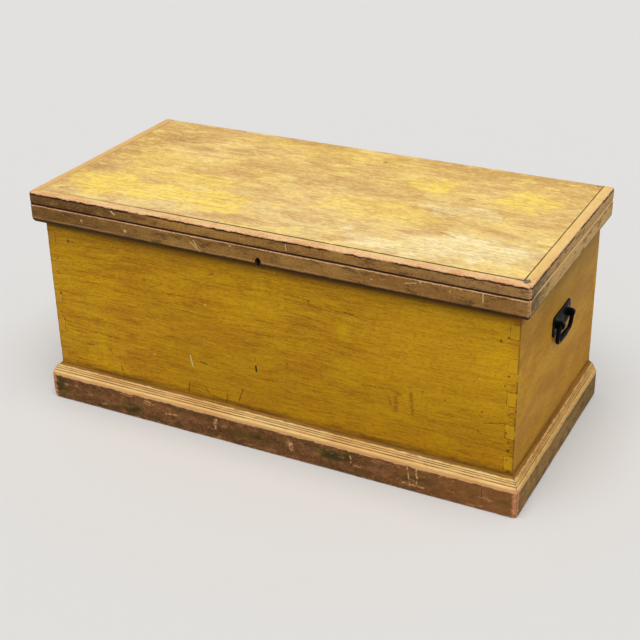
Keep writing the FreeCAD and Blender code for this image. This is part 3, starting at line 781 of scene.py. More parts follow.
def front_marks(f, colour, seed):
    """Dents, drips and flecks of the front, each where it was seen."""
    jitter = f.noise((0.35, 0.35, 0.35), 2, 0.6, seed + 41, f.world, output=1)
    broken = f.noise((0.22, 0.22, 0.22), 2, 0.6, seed + 47, f.world)
    face = Face(f, (1, 0, 1), jitter, (3.2, 0, 3.2))
    on_front = f.smooth(f.y, front_y + 1.2, front_y + 0.6)
    scars = face.strokes(front_scars, 0.75) * f.smooth(broken, 0.36, 0.52) * on_front
    runs = face.strokes(front_runs, 0.95) * f.smooth(broken, 0.3, 0.55)
    colour = f.over(
        colour, (face.dots(joint_spots) * on_front * 0.85, (80, 44, 12)),
        (face.dot(164, 306, 24, 1 / 12) * on_front * 0.4, (226, 184, 16)),
        (face.stroke((-155, 164), (-143, 162), 4.5, 0.75) * on_front * 0.7, (104, 92, 20)),
        (runs * on_front * 0.55, (116, 64, 10)),
        (face.dots(front_spots) * on_front * 0.75, (96, 58, 14)),
        (scars * 0.8, (76, 46, 12)),
        (face.stroke((-27, 184), (-26, 173), 1.9, 0.3) * on_front, (20, 8, 6)),
        (face.dots(front_flecks) * on_front * 0.8, (232, 208, 120)),
        (face.stroke((-181, 174), (-176, 150), 1.7, 0.75) * on_front * 0.9, (214, 214, 150)))
    return colour, scars


print("the front has", len(front_scars + front_runs), "strokes and",
      len(front_spots + joint_spots + front_flecks), "dots")

# %% [markdown]
# The carcass is painted mustard, and a century of rubbing shows the streaks of the wood.
# Broad soft patches come from cloudy noise, and fine ones from the grain. The ends have a
# slightly warmer mustard and much less streaking, so one function serves both with a share.

# %% Coats of mustard
mustards = {
    "x": ((204, 150, 8), (196, 140, 26), (166, 110, 6), (212, 164, 4), (220, 168, 30), 1.0),
    "y": ((218, 160, 28), (202, 144, 32), (168, 114, 20), (212, 160, 30), (216, 164, 48), 0.35)}


def mustard_ground(f, grain, seed, look):
    """The mustard's thin coats, from the ground colour to the crumbs of rubbed paint."""
    light, haze, deep, bright, thin, share = mustards[grain]
    patch = f.noise((0.013, 0.03, 0.035), 4, 0.62, seed + 8)
    blotch = f.noise((0.009, 0.014, 0.016), 3, 0.55, seed + 16)
    flecks = f.noise((0.03, 0.16, 0.16), 4, 0.7, seed + 15)
    dash = f.noise((0.05, 0.5, 0.5), 2, 0.5, seed + 13)
    glow = f.smooth(f.x, 120, 380) * f.smooth(f.z, 110, 260)
    glaze = f.smooth(f.z, 330, 130) * f.smooth(f.x, -420, -120)
    rubbed = (0.35 + 0.65 * f.smooth(f.z, 340, 180)) * share
    colour = f.coats(
        paint(*light), (look.cloud, 0.4, 0.62, 1.0, haze), (patch, 0.52, 0.66, 0.6, bright),
        (patch, 0.47, 0.36, 0.4, deep), (look.mottle, 0.5, 0.72, 0.35 * share, deep),
        (look.broad, 0.5, 0.66, 0.6 * share, (150, 96, 8)),
        (look.broad, 0.47, 0.34, 0.5 * share, thin),
        (look.fine, 0.5, 0.64, 0.54 * share, (132, 82, 6)),
        (look.fine, 0.485, 0.355, 0.42 * share, thin),
        (blotch, 0.5, 0.68, 0.3 * share, (176, 112, 16)),
        (blotch, 0.49, 0.32, 0.3 * share, (222, 174, 22)))
    colour = f.over(colour, (glow * 0.34 * share, (226, 174, 24)))
    colour = f.coats(
        colour, (flecks, 0.55, 0.68, rubbed * 0.45, (132, 82, 8)),
        (flecks, 0.45, 0.33, rubbed * 0.35, bright),
        (look.crumbs, 0.52, 0.64, 0.5, (144, 94, 10)), (look.crumbs, 0.48, 0.38, 0.45, bright))
    colour = f.over(colour, (glaze * 0.3, (150, 98, 0)))
    return f.coats(colour, (dash, 0.66, 0.73, 0.75 * share, (92, 56, 10)))


print("two mustards:", [mustards[grain][0] for grain in mustards])

# %% [markdown]
# The carcass is darker just above the plinth, and dirt browns its upright corners. Painted
# shadow darkens the boards under the strip, and painted shade darkens the front's right edge
# below it. Each is a distance from that place, made uneven by noise.

# %% Dirt and painted shade along the carcass's edges
def carcass_dirt_and_shade(f, grain, colour, seed, look):
    """A darker band above the plinth, painted shadow under the strip, painted shade down the front's
    right edge below it, and browned corners.
    """
    low = f.smooth(f.z + (look.mottle - 0.5) * 24, 96, 82)
    low = low * (0.45 + 0.4 * f.smooth(look.broad, 0.4, 0.6))
    ragged = f.noise((0.05, 0.05, 0.05), 3, 0.6, seed + 21, f.world)
    corner = f.smooth(abs(f.x), end_x - 3.6, end_x - 0.6) * f.smooth(f.y, front_y + 3.6, front_y + 0.6)
    # painted shadow: the two bands from 384 to 408 mm up darken the boards under the strip
    colour = f.over(colour, (low, (116, 76, 20)), (f.smooth(f.z, 384, 404) * 0.5, (110, 70, 4)),
                    (f.smooth(f.z, 396, 408) * 0.8, (58, 34, 4)),
                    (corner * f.smooth(ragged, 0.36, 0.52) * 0.65, (104, 60, 18)))
    if grain == "x":
        # painted shade: the front darkens towards its right edge, below the strip
        edge_shade = f.smooth(f.x, end_x - 26, end_x) * f.smooth(f.z, 300, 400)
        colour = f.over(colour, (edge_shade * 0.6, (146, 78, 20)))
    return colour


print("the carcass's corners stand", round(end_x), "mm from the middle")

# %% [markdown]
# Now the paint comes together: the ground, the specks, the dovetails that show through, the
# measured marks, and the dirt and painted shade along the edges. The ends also get painted
# shade towards the top, under the strip. The tails are end grain, which drinks paint and looks
# a little different. The inner faces keep their bare pine, so the paint is mixed in on the
# outer faces alone.

# %% Mustard paint
def mustard_paint(name, grain, seed):
    """The carcass paint: mustard, rubbed thin in streaks, over bare pine inside."""
    f = Finish(name, grain)
    look = SimpleNamespace(cloud=f.noise((0.004, 0.01, 0.009), 3, 0.55, seed + 5),
                           mottle=f.noise((0.05, 0.15, 0.16), 3, 0.6, seed + 9),
                           crumbs=f.noise((0.12, 0.35, 0.35), 4, 0.7, seed + 12))
    look.fine, look.broad = grain_streaks(f, seed)
    colour = mustard_ground(f, grain, seed, look)
    specks = f.dots(13, 0.09, 0.16, seed + 1)
    pale = f.dots(26, 0.05, 0.05, seed + 2)
    colour = f.over(colour, (specks * 0.8, (84, 48, 10)), (pale * 0.7, (228, 196, 96)))
    if grain == "y":
        rusty = f.noise((0.006, 0.02, 0.02), 3, 0.55, seed + 18)
        # painted shade: the ends darken towards the top, in the strip's shadow
        shaded = f.z + (look.cloud - 0.5) * 160 + f.y * 0.2
        colour = f.coats(colour, (shaded, 230, 420, 0.6, (128, 92, 24)),
                         (rusty, 0.46, 0.7, 0.4, (150, 92, 26)))
    line, tail = joint_lines(f, seed)
    on_face = f.higher(f.smooth(f.y, front_y + 1.2, front_y + 0.6),
                       f.smooth(f.y, back_y - 1.2, back_y - 0.6))
    on_end = f.smooth(abs(f.x), end_x - 1.2, end_x - 0.6)
    end_grain = f.coats(paint(220, 174, 16), (look.mottle, 0.45, 0.7, 0.6, (186, 134, 12)))
    colour = f.mix(tail * on_face * (0.12 + 0.3 * f.smooth(f.x, 0, 400)), colour, end_grain)
    height = look.fine * 0.4 + look.broad * 0.4 - specks * 0.5
    if grain == "x":
        between = f.smooth(f.x, end_x - 22, end_x - 3) * (1 - tail)
        smudge = between * f.smooth(look.crumbs, 0.44, 0.58) * f.smooth(f.z, 330, 200)
        colour = f.over(colour, (smudge * on_face * 0.6, (112, 66, 12)))
    colour, scars = front_marks(f, colour, seed)
    if grain == "x":
        height = height - scars * 1.5
    colour = f.over(colour, (line * on_face * 0.9, (58, 32, 8)))
    colour = carcass_dirt_and_shade(f, grain, colour, seed, look)
    colour = f.mix(f.higher(on_face, on_end), bare_wood(f, seed, look.fine, look.broad), colour)
    rough = 0.52 + 0.14 * f.smooth(look.cloud, 0.3, 0.7) + 0.12 * f.smooth(look.fine, 0.5, 0.75)
    return f.close(colour, rough, height - line * on_face, 0.35)


front_paint = mustard_paint("front_paint", "x", 1)
end_paint = mustard_paint("end_paint", "y", 4)
print("the front's paint takes", len(front_paint.node_tree.nodes), "nodes")

# %% [markdown]
# The lid is lighter, since light and hands bleached it. It has rubbed yellow places, brown
# smudges and a pale front right corner, so zones with torn edges mix their colours in. The
# zones are ellipses on a face whose coordinates are pushed about by slow noise.

# %% Marks of the lid
lid_scars = [
    ((-42, 85), (33, 69), 1.6), ((91, 114), (122, 122), 1.8), ((256, 73), (305, 72), 2.0),
    ((234, -12), (310, -22), 1.8), ((197, -74), (231, -80), 1.6), ((303, -105), (338, -119), 1.8),
    ((-393, 133), (-359, 142), 3.4), ((54, 195), (58, 192), 5.0), ((33, 269), (36, 266), 3.0),
    ((-488, -213), (-474, -209), 5.0), ((505, 246), (512, 250), 10.0)]
lid_stains = [(-421, 136, 60), (-490, 34, 60), (-490, -72, 50), (-345, 97, 50), (52, 197, 26)]
lid_flecks = [(385, -200, 26), (403, -211, 16), (106, -105, 22), (140, -160, 22), (157, -188, 20)]
rubbed_zones = [(-415, -150, 110, 72, 1.0), (-285, -150, 105, 55, 1.0), (-160, -150, 95, 66, 1.0),
                (-290, -58, 180, 44, 0.7), (-390, 0, 110, 60, 0.45), (215, 112, 66, 40, 1.0),
                (405, 100, 80, 66, 1.0), (160, -60, 170, 60, 0.5), (-60, 200, 300, 40, 0.4)]
bleached_zones = [(384, -150, 150, 66, 1.0), (250, -205, 120, 34, 1.0), (300, 10, 110, 40, 0.6)]
smudged_zones = [(-390, 160, 90, 40, 1.0), (-215, 140, 80, 36, 1.0), (40, 40, 120, 50, 0.7),
                 (-60, -215, 120, 26, 0.6)]


def lid_marks(f, colour, seed):
    """Scratches, rubbed yellow places, a cup's ring and stains of the lid."""
    jitter = f.noise((0.3, 0.3, 0.3), 2, 0.6, seed + 41, f.world, output=1)
    broken = f.noise((0.02, 0.03, 0.03), 3, 0.65, seed + 43, f.world, output=1)
    split = f.noise((0.02, 0.12, 0.1), 3, 0.6, seed + 45, f.world)
    face = Face(f, (1, 1, 0), jitter, (4, 4, 0))
    wide = Face(f, (1, 1, 0), broken, (150, 90, 0))
    streaky = 0.5 * f.smooth(split, 0.4, 0.58)
    ring = f.smooth(abs(face.gap(378, -168) - 34), 7.0, 0.5) * f.smooth(split, 0.4, 0.6)
    scars = face.strokes(lid_scars)
    colour = f.over(
        colour, (wide.zones(smudged_zones) * f.smooth(split, 0.38, 0.6) * 0.6, (192, 144, 82)),
        (wide.zones(rubbed_zones) * (0.45 + streaky) * 0.95, (255, 222, 92)),
        (wide.zones(bleached_zones) * (0.35 + streaky), (255, 240, 186)),
        (face.dots(lid_stains, 0.2) * f.smooth(split, 0.35, 0.6) * 0.5, (160, 112, 66)),
        (face.dots(lid_flecks, 0.2) * f.smooth(split, 0.42, 0.6) * 0.6, (255, 238, 186)),
        (ring * 0.4, (255, 240, 190)),
        (scars * f.smooth(split, 0.3, 0.5) * 0.7, (112, 78, 32)))
    return colour, scars


print("the lid has", len(rubbed_zones + bleached_zones + smudged_zones), "zones")

# %% [markdown]
# The lid's ground is a bleached straw colour, paler towards the front and hazy brown at the
# back and the left. Patches, the measured marks, crumbs and streaks come over it. The seam of
# the two boards and the joint along the edging are thin dark lines at their known places, and
# below the top face the pine is bare.

# %% Lid paint
def lid_paint(name, seed):
    """The lid's paint, bleached and rubbed almost to the wood."""
    f = Finish(name, "x")
    fine, broad = grain_streaks(f, seed, 1.2)
    cloud = f.noise((0.0045, 0.006, 0.01), 3, 0.55, seed + 5)
    patch = f.noise((0.014, 0.035, 0.03), 4, 0.62, seed + 8)
    mottle = f.noise((0.05, 0.16, 0.16), 3, 0.6, seed + 9)
    blotch = f.noise((0.007, 0.013, 0.012), 3, 0.55, seed + 16)
    crumbs = f.noise((0.12, 0.35, 0.35), 4, 0.7, seed + 12)
    dash = f.noise((0.045, 0.5, 0.5), 2, 0.5, seed + 13)
    ragged = f.noise((0.03, 0.03, 0.03), 3, 0.6, seed + 21, f.world)
    haze = f.higher(f.smooth(f.x, -330, -505), f.smooth(f.y, 150, 250))
    haze = haze * (0.2 + 0.4 * f.smooth(cloud, 0.36, 0.56))
    colour = f.coats(paint(232, 198, 122), (cloud, 0.38, 0.62, 1.0, (220, 180, 104)),
                     (f.y, 40, -240, 0.6, (240, 212, 150)))
    colour = f.over(colour, (haze, (190, 144, 78)))
    colour = f.coats(
        colour, (blotch, 0.52, 0.66, 0.35, (208, 160, 94)), (blotch, 0.47, 0.35, 0.5, (252, 222, 132)),
        (patch, 0.5, 0.64, 0.65, (202, 152, 92)), (patch, 0.48, 0.36, 0.65, (252, 220, 124)))
    colour, scars = lid_marks(f, colour, seed)
    colour = f.coats(
        colour, (crumbs, 0.51, 0.64, 0.42, (182, 134, 66)), (crumbs, 0.48, 0.36, 0.36, (255, 236, 168)),
        (mottle, 0.5, 0.7, 0.35, (186, 140, 72)), (mottle, 0.46, 0.32, 0.3, (252, 230, 160)),
        (broad, 0.5, 0.7, 0.4, (176, 130, 66)), (fine, 0.52, 0.74, 0.35, (166, 122, 60)),
        (dash, 0.67, 0.73, 0.55, (120, 84, 36)))
    specks = f.dots(17, 0.07, 0.22, seed + 1)
    seam = f.smooth(abs(f.y - lid_seam / mm), 0.5, 0.2)
    gap = f.lower(end_x - abs(f.x), (f.y - front_y) * 0.5)
    joint = f.smooth(gap, 1.4, 0.6) * f.smooth(ragged, 0.3, 0.42)
    joint = joint * (0.3 + 0.6 * f.smooth(f.x, -505, -100))
    colour = f.over(colour, (specks * 0.75, (104, 70, 30)), (seam * 0.3, (130, 92, 44)),
                    (joint, (58, 40, 22)))
    painted = f.smooth(f.z, lid_top / mm - 3.2, lid_top / mm - 2.6)
    colour = f.mix(painted, bare_wood(f, seed, fine, broad), colour)
    rough = 0.5 + 0.12 * f.smooth(cloud, 0.3, 0.7) + 0.1 * f.smooth(fine, 0.5, 0.75)
    height = fine * 0.4 + broad * 0.4 - specks * 0.4 - seam * 0.4 - scars
    return f.close(colour, rough, height, 0.3)


lid_finish = lid_paint("lid_finish", 7)
print("the lid's paint takes", len(lid_finish.node_tree.nodes), "nodes")

# %% [markdown]
# The mouldings are worn through to pinkish wood on the upright corner, where every passer-by
# brushes, and the mitre shows there as a thin dark line. Both follow from how far a point is
# from the two outer faces.

# %% Wear on a mitred corner
def mitre_wear(f, reach, colour, wood, chip, wide=5.6):
    """Worn wood on the upright corner arris, with the mitre's dark line down its middle."""
    aside = end_x + reach - abs(f.x)
    back = f.y - front_y + reach
    worn = f.smooth(aside + back + (chip - 0.5) * wide * 1.4, wide, wide * 0.45)
    worn = worn * (0.45 + 0.5 * f.smooth(chip, 0.62, 0.46))
    cut = f.smooth(abs(aside - back), 0.75, 0.25) * f.smooth(aside, reach + 2, reach)
    colour = f.mix(worn * 0.95, colour, wood)
    return f.over(colour, (cut * f.smooth(chip, 0.34, 0.46) * 0.9, (52, 30, 16)))


print("the strips' corners stand", round(strip_reach / mm, 1), "mm out")

# %% [markdown]
# The edging of the lid and the strip under it share one paint: olive brown on the upright
# faces, a little darker to the left and warmer to the right. The distances come from the
# sweep's attributes, so the finish follows the moulding round the corner.

# %% Ground of the bands
band_scars = [((-149, 439), (-127, 422), 1.3), ((-134, 431), (-142, 444), 1.3),
              ((447, 452), (448, 435), 1.4), ((300, 441), (322, 446), 1.0),
              ((-330, 470), (-322, 466), 2.4), ((60, 472), (61, 460), 1.2)]
band_flecks = [(-217, 416, 3.0), (151, 420, 2.6), (386, 442, 2.2), (-405, 438, 3.0),
               (-300, 434, 4.0), (235, 436, 2.2), (-60, 447, 2.4), (330, 449, 2.4)]
band_grounds = {"edging": ((172, 126, 62), (144, 102, 52), 0.55, 0.85),
                "strip": ((160, 118, 58), (144, 100, 48), 0.1, 0.55)}


def band_ground(f, kind, seed, look):
    """Olive-brown paint with smudges, grit, and a few scars on the front."""
    light, dark, to_right, to_left = band_grounds[kind]
    reach = strip_reach / mm
    smudge = f.noise((0.03, 0.09, 0.09), 4, 0.65, seed + 6)
    ochre = f.noise((0.018, 0.05, 0.05), 3, 0.6, seed + 27)
    jitter = f.noise((0.35, 0.35, 0.35), 2, 0.6, seed + 41, f.world, output=1)
    near_corner = f.smooth(f.y, -120, -225) * f.smooth(f.y, -259, -254)
    near_corner = near_corner * (0.35 + 0.5 * f.smooth(look.chip, 0.4, 0.54))
    colour = f.coats(paint(*light), (look.cloud, 0.35, 0.65, 1.0, dark),
                     (ochre, 0.55, 0.68, 0.5, (128, 72, 44)))
    colour = f.over(colour, (look.side * 0.8, (226, 184, 110)))
    colour = f.coats(
        colour, (f.x, 180, 470, to_right, (180, 138, 88)), (f.x, -180, -420, to_left, (96, 64, 32)),
        (smudge, 0.5, 0.66, 0.7, (84, 60, 28)), (smudge, 0.45, 0.32, 0.5, (178, 138, 72)),
        (look.grit, 0.52, 0.66, 0.5, (88, 60, 28)), (look.grit, 0.46, 0.34, 0.4, (186, 148, 84)))
    colour = f.over(colour, (near_corner, (88, 80, 50)))
    colour = f.coats(colour, (look.fine, 0.54, 0.74, 0.4, (92, 64, 32)))
    face = Face(f, (1, 0, 1), jitter, (2, 0, 2))
    on_front = f.smooth(f.y, front_y - reach + 3, front_y - reach + 1)
    marks = f.higher(face.strokes(band_scars), face.dots(band_flecks, 0.4))
    return f.over(colour, (marks * on_front * 0.8, (232, 192, 140)))


print("the bands have", len(band_scars + band_flecks), "marks")

# %% [markdown]
# The lid's edging is bare and yellowed on top, like the lid. Its top arris is rubbed to the
# wood with a dark line below it, painted shade darkens its lowest arris along the opening
# line, and its underside stayed unpainted where it rests.

# %% Wear and painted shade on the lid's edging
def edging_wear_and_shade(f, colour, look):
    """Bare yellowed top, rubbed top arris with a dark line below it, painted shade on the lowest arris,
    and a bare underside.
    """
    side, chip, up_top = look.side, look.chip, f.smooth(look.from_top, 1.8, 0.7)
    mottle = f.noise((0.05, 0.16, 0.16), 3, 0.6, look.seed + 19)
    top = f.coats(paint(238, 204, 140), (look.cloud, 0.35, 0.65, 1.0, (222, 180, 112)),
                  (mottle, 0.48, 0.68, 0.6, (188, 142, 78)),
                  (look.fine, 0.52, 0.74, 0.4, (170, 124, 70)))
    top = f.over(top, (side * 0.6, (236, 198, 116)), (f.smooth(f.x, -508, -514) * 0.6, (204, 158, 94)))
    colour = f.mix(up_top, colour, top)
    reached = look.from_top + look.from_face * 0.3 + (chip - 0.5) * 7
    worn = f.smooth(reached, 3.8, 2.6) * f.smooth(look.grit, 0.2, 0.46)
    colour = f.mix(worn * (0.85 - side * 0.5), colour, look.wood)
    under = f.smooth(abs(look.from_top + (chip - 0.5) * 7 - 4.6), 2.3, 0.8)
    # painted shade: the lowest arris darkens where the lid meets the strip, along the opening line
    dark = f.smooth(f.up + (chip - 0.5) * 1.5, 1.8, 1.0)
    colour = f.over(colour, (under * f.smooth(look.slow, 0.3, 0.42) * 0.92, (44, 18, 10)),
                    (dark * 0.92, (40, 14, 12)))
    rest_face = f.smooth(f.up, 0.8, 0.3) * f.smooth(look.from_face, 2.2, 4.5)
    rest_wood = f.coats(paint(184, 144, 92), (chip, 0.4, 0.6, 1.0, (142, 104, 62)))
    colour = f.mix(rest_face * 0.9, colour, rest_wood)
    line = 3.3 - 1.5 * side
    inner = f.smooth(f.out + (chip - 0.5) * 2, line, line * 0.6) * f.smooth(chip, 0.3, 0.4)
    inner = inner * (0.3 + 0.6 * f.smooth(f.x, -520, -100))
    stain_gap = f.vector("DISTANCE", f.vector("MULTIPLY", f.world, (0.8, 0.7, 0)),
                         (415, -169, 0), output=1)
    stain = f.smooth(stain_gap + (chip - 0.5) * 10, 7.5, 4.5)
    return f.over(colour, (inner * up_top, (54, 36, 18)), (stain * up_top * 0.8, (88, 70, 64)))


print("the edging is", round((edge_high.z - edge_low.z) / mm, 1), "mm high")

# %% [markdown]
# The strip under it is rubbed along its top arris too. The opening line between the two carries
# painted shade at the front and a pale line at the sides, and its rounded foot is painted
# dark with shade and dirt.

# %% Wear and painted shade on the strips
def strip_wear_and_shade(f, colour, look):
    """Rubbed top arris, painted shade in the opening line above it, and a foot painted dark with shade
    and dirt.
    """
    side, chip = look.side, look.chip
    worn = f.smooth(look.from_top + (chip - 0.5) * 6, 4.8, 3.6)
    colour = f.mix(worn * (0.85 - side * 0.4), colour, look.wood)
    # painted shade: the strip's top darkens in the opening line under the lid, at the front only
    opening = f.smooth(look.from_top + (chip - 0.5) * 1.6, 2.3, 1.7) * (1.0 - side)
    colour = f.over(colour, (opening * 0.95, (36, 12, 9)))
    rest_face = f.smooth(look.from_top, 0.8, 0.3)
    rest_face = rest_face * f.smooth(look.from_face + (chip - 0.5) * 4, 2.4, 4.4)
    rest_wood = f.coats(paint(196, 156, 102), (chip, 0.4, 0.6, 1.0, (156, 116, 70)))
    colour = f.mix(rest_face * 0.92, colour, rest_wood)
    light_line = f.smooth(abs(look.from_top + (chip - 0.5) * 3 - 2.2), 2.4, 1.2) * side
    edge = f.smooth(abs(f.up + (chip - 0.5) * 3 - 12.5), 2.0, 0.6) * f.smooth(look.slow, 0.4, 0.55)
    colour = f.over(colour, (light_line * 0.8, (232, 192, 132)), (edge * 0.4, (196, 152, 92)))
    # painted shade and dirt: the rounded foot turns dark brown
    under = f.smooth(f.up + (chip - 0.5) * 4, 11.4, 8.2)
    shade = f.coats(paint(60, 34, 8), (chip, 0.4, 0.6, 1.0, (34, 16, 8)))
    return f.mix(under * 0.93, colour, shade)


print("the strips are", round((strip_high.z - strip_low.z) / mm, 1), "mm high")

# %% [markdown]
# What both bands share is worked out once and handed on as a small namespace called look: the
# noises, the worn wood's colour, how far round the side a point is, and how far it lies from
# the top arris and from the outer face.

# %% Paint of the bands
def band_paint(name, kind, seed):
    """Olive-brown paint on the upright faces, worn through to pinkish wood on the arrises."""
    f = Finish(name, "run")
    low, high = (edge_low, edge_high) if kind == "edging" else (strip_low, strip_high)
    reach = strip_reach / mm
    look = SimpleNamespace(
        seed=seed, cloud=f.noise((0.008, 0.02, 0.04), 3, 0.6, seed + 5),
        chip=f.noise((0.07, 0.16, 0.16), 4, 0.64, seed + 9),
        slow=f.noise((0.012, 0.02, 0.02), 2, 0.5, seed + 15),
        grit=f.noise((0.2, 0.4, 0.4), 3, 0.7, seed + 28),
        side=f.smooth(f.y, front_y - reach + 4, front_y - reach + 60),
        from_top=(high.z - low.z) / mm - f.up, from_face=reach - f.out)
    look.fine, look.broad = grain_streaks(f, seed)
    look.wood = f.coats(paint(240, 194, 144), (look.slow, 0.4, 0.6, 1.0, (222, 162, 114)),
                        (look.grit, 0.48, 0.62, 0.6, (188, 124, 80)),
                        (look.grit, 0.44, 0.34, 0.5, (255, 226, 180)))
    colour = band_ground(f, kind, seed, look)
    colour = (edging_wear_and_shade if kind == "edging" else strip_wear_and_shade)(f, colour, look)
    colour = mitre_wear(f, reach, colour, look.wood, look.chip)
    rough = 0.52 + 0.2 * f.smooth(look.cloud, 0.3, 0.7)
    height = look.fine * 0.4 + look.broad * 0.4 + f.smooth(look.chip, 0.45, 0.7) * 0.4
    return f.close(colour, rough, height, 0.45)


edging_paint = band_paint("edging_paint", "edging", 12)
strip_paint = band_paint("strip_paint", "strip", 17)
print("the edging's paint takes", len(edging_paint.node_tree.nodes), "nodes")

# %% [markdown]
# Feet and brooms take the paint off a plinth. The flat face is dark brown with green and
# black patches, a few measured knocks, and bare places that noise puts where it likes.

# %% Face of the plinth
foot_zones = [(-510, 32, 22, 24, 1.0), (-45, 30, 42, 9, 1.0), (150, 38, 48, 14, 1.0),
              (498, 26, 28, 9, 1.0), (-330, 24, 40, 14, 1.0), (330, 30, 36, 10, 1.0)]
foot_scars = [((188, 70), (189, 30), 2.4), ((309, 58), (314, 13), 2.6), ((328, 52), (330, 21), 2.4),
              ((300, 16), (345, 15), 2.4), ((-117, 46), (-120, 26), 5.0), ((55, 38), (58, 24), 8.0),
              ((-290, 48), (-268, 44), 3.0), ((-240, 30), (-205, 33), 3.0)]
foot_nicks = [((-300, 40), (-296, 22), 1.6), ((-297, 44), (-301, 37), 1.4),
              ((460, 46), (461, 30), 1.6), ((400, 28), (402, 21), 1.6)]


def foot_face(f, seed, look):
    """Dark brown with olive, black-green and bare patches, greyer round the side."""
    side, olive = look.side, look.olive
    torn = Face(f, (1, 0, 1), f.noise((0.03, 0.09, 0.09), 4, 0.66, seed + 12, output=1), (44, 0, 22))
    near = Face(f, (1, 0, 1), f.noise((0.2, 0.2, 0.2), 2, 0.6, seed + 48, f.world, output=1), (9, 0, 5))
    on_front = f.smooth(f.y, front_y - look.reach + 2, front_y - look.reach + 1)
    broken = f.smooth(look.scuffed, 0.42, 0.54) * on_front
    colour = f.coats(
        paint(134, 88, 52), (look.cloud, 0.38, 0.62, 1.0, (104, 68, 36)),
        (olive, 0.46, 0.6, 0.75, (98, 74, 32)), (look.wash, 0.5, 0.64, 0.6, (74, 46, 24)),
        (look.wash, 0.46, 0.34, 0.5, (166, 112, 66)), (olive, 0.64, 0.74, 0.8, (56, 46, 24)),
        (look.chip, 0.42, 0.3, 0.35, (176, 118, 74)), (look.grit, 0.52, 0.64, 0.5, (58, 36, 20)),
        (look.grit, 0.46, 0.36, 0.35, (170, 118, 76)))
    green = f.coats(paint(104, 86, 30), (olive, 0.42, 0.6, 1.0, (48, 46, 22)))
    aged = torn.zones(foot_zones, 1.15, 0.6) * on_front
    colour = f.mix(aged * f.smooth(olive, 0.3, 0.5) * 0.75, colour, green)
    colour = f.coats(colour, (look.fine, 0.54, 0.74, 0.45, (80, 50, 26)),
                     (f.x, 180, 460, 0.42, (150, 98, 50)))
    colour = f.over(colour, (side * 0.8, (158, 122, 60)))
    colour = f.coats(
        colour, (olive, 0.48, 0.62, side * 0.65, (98, 82, 42)),
        (look.wash, 0.5, 0.62, side * 0.55, (84, 64, 32)),
        (look.grit, 0.54, 0.66, side * 0.5, (66, 52, 26)), (f.y, 20, 230, side * 0.4, (88, 78, 36)))
    return f.over(colour, (look.rubbed * 0.7, (196, 136, 86)),
                  (near.strokes(foot_scars, 0.8) * broken * 0.85, (222, 168, 116)),
                  (near.strokes(foot_nicks, 0.8) * broken * 0.8, (52, 24, 14)))


print("the plinth has", len(foot_scars + foot_nicks), "knocks")

# %% [markdown]
# The plinth's moulding is rubbed to cream wood, with darker brown lines in the quirks
# between its beads and mustard left in the cove at the top.

# %% Moulding of the plinth
def foot_wood(f, seed, look):
    """Cream wood with fine lines along it, browner low down and round the side."""
    side, grit = look.side, look.grit
    lines = f.noise((0.012, 0.8, 0.8), 3, 0.6, seed + 33)
    low_part = f.smooth(f.up + (look.chip - 0.5) * 6, look.base + 7.5, look.base + 3.0)
    colour = f.coats(
        paint(248, 210, 138), (look.cloud, 0.4, 0.6, 1.0, (236, 188, 116)),
        (lines, 0.5, 0.66, 0.5, (206, 150, 84)), (lines, 0.47, 0.34, 0.5, (255, 230, 160)),
        (look.chip, 0.52, 0.68, 0.45, (204, 146, 92)))
    colour = f.over(colour, (low_part * 0.7, (206, 148, 92)), (side * 0.7, (214, 170, 94)))
    return f.coats(
        colour, (grit, 0.5, 0.62, side * 0.5, (158, 108, 54)),
        (grit, 0.46, 0.35, side * 0.4, (244, 204, 138)),
        (look.wash, 0.5, 0.64, side * 0.35, (150, 104, 48)))


def quirk_darkening(f, seed, look):
    """How much darker the quirks are, which are the flat steps of the outline."""
    quirks = 0.0
    for out, up in [step[0] for step in plinth_shares if len(step) == 1]:
        away = f.joined(0.0, f.out - out * look.reach,
                        f.up - look.base - up * plinth_moulding_height / mm)
        quirks = f.higher(f.smooth(f.vector("LENGTH", away, output=1), 2.3, 0.6), quirks)
    quirk_noise = f.noise((0.02, 0.05, 0.05), 3, 0.6, seed + 19)
    return quirks * (0.4 + 0.4 * f.smooth(quirk_noise, 0.35, 0.6))


print("the plinth's face is", round(plinth_face / mm), "mm high")

# %% [markdown]
# The moulding's rubbed wood lies over the painted face along a bitten edge, and a pale rim
# shows where the paint breaks off. The foot is scuffed along the floor and the corner is worn
# like those of the bands, only wider.

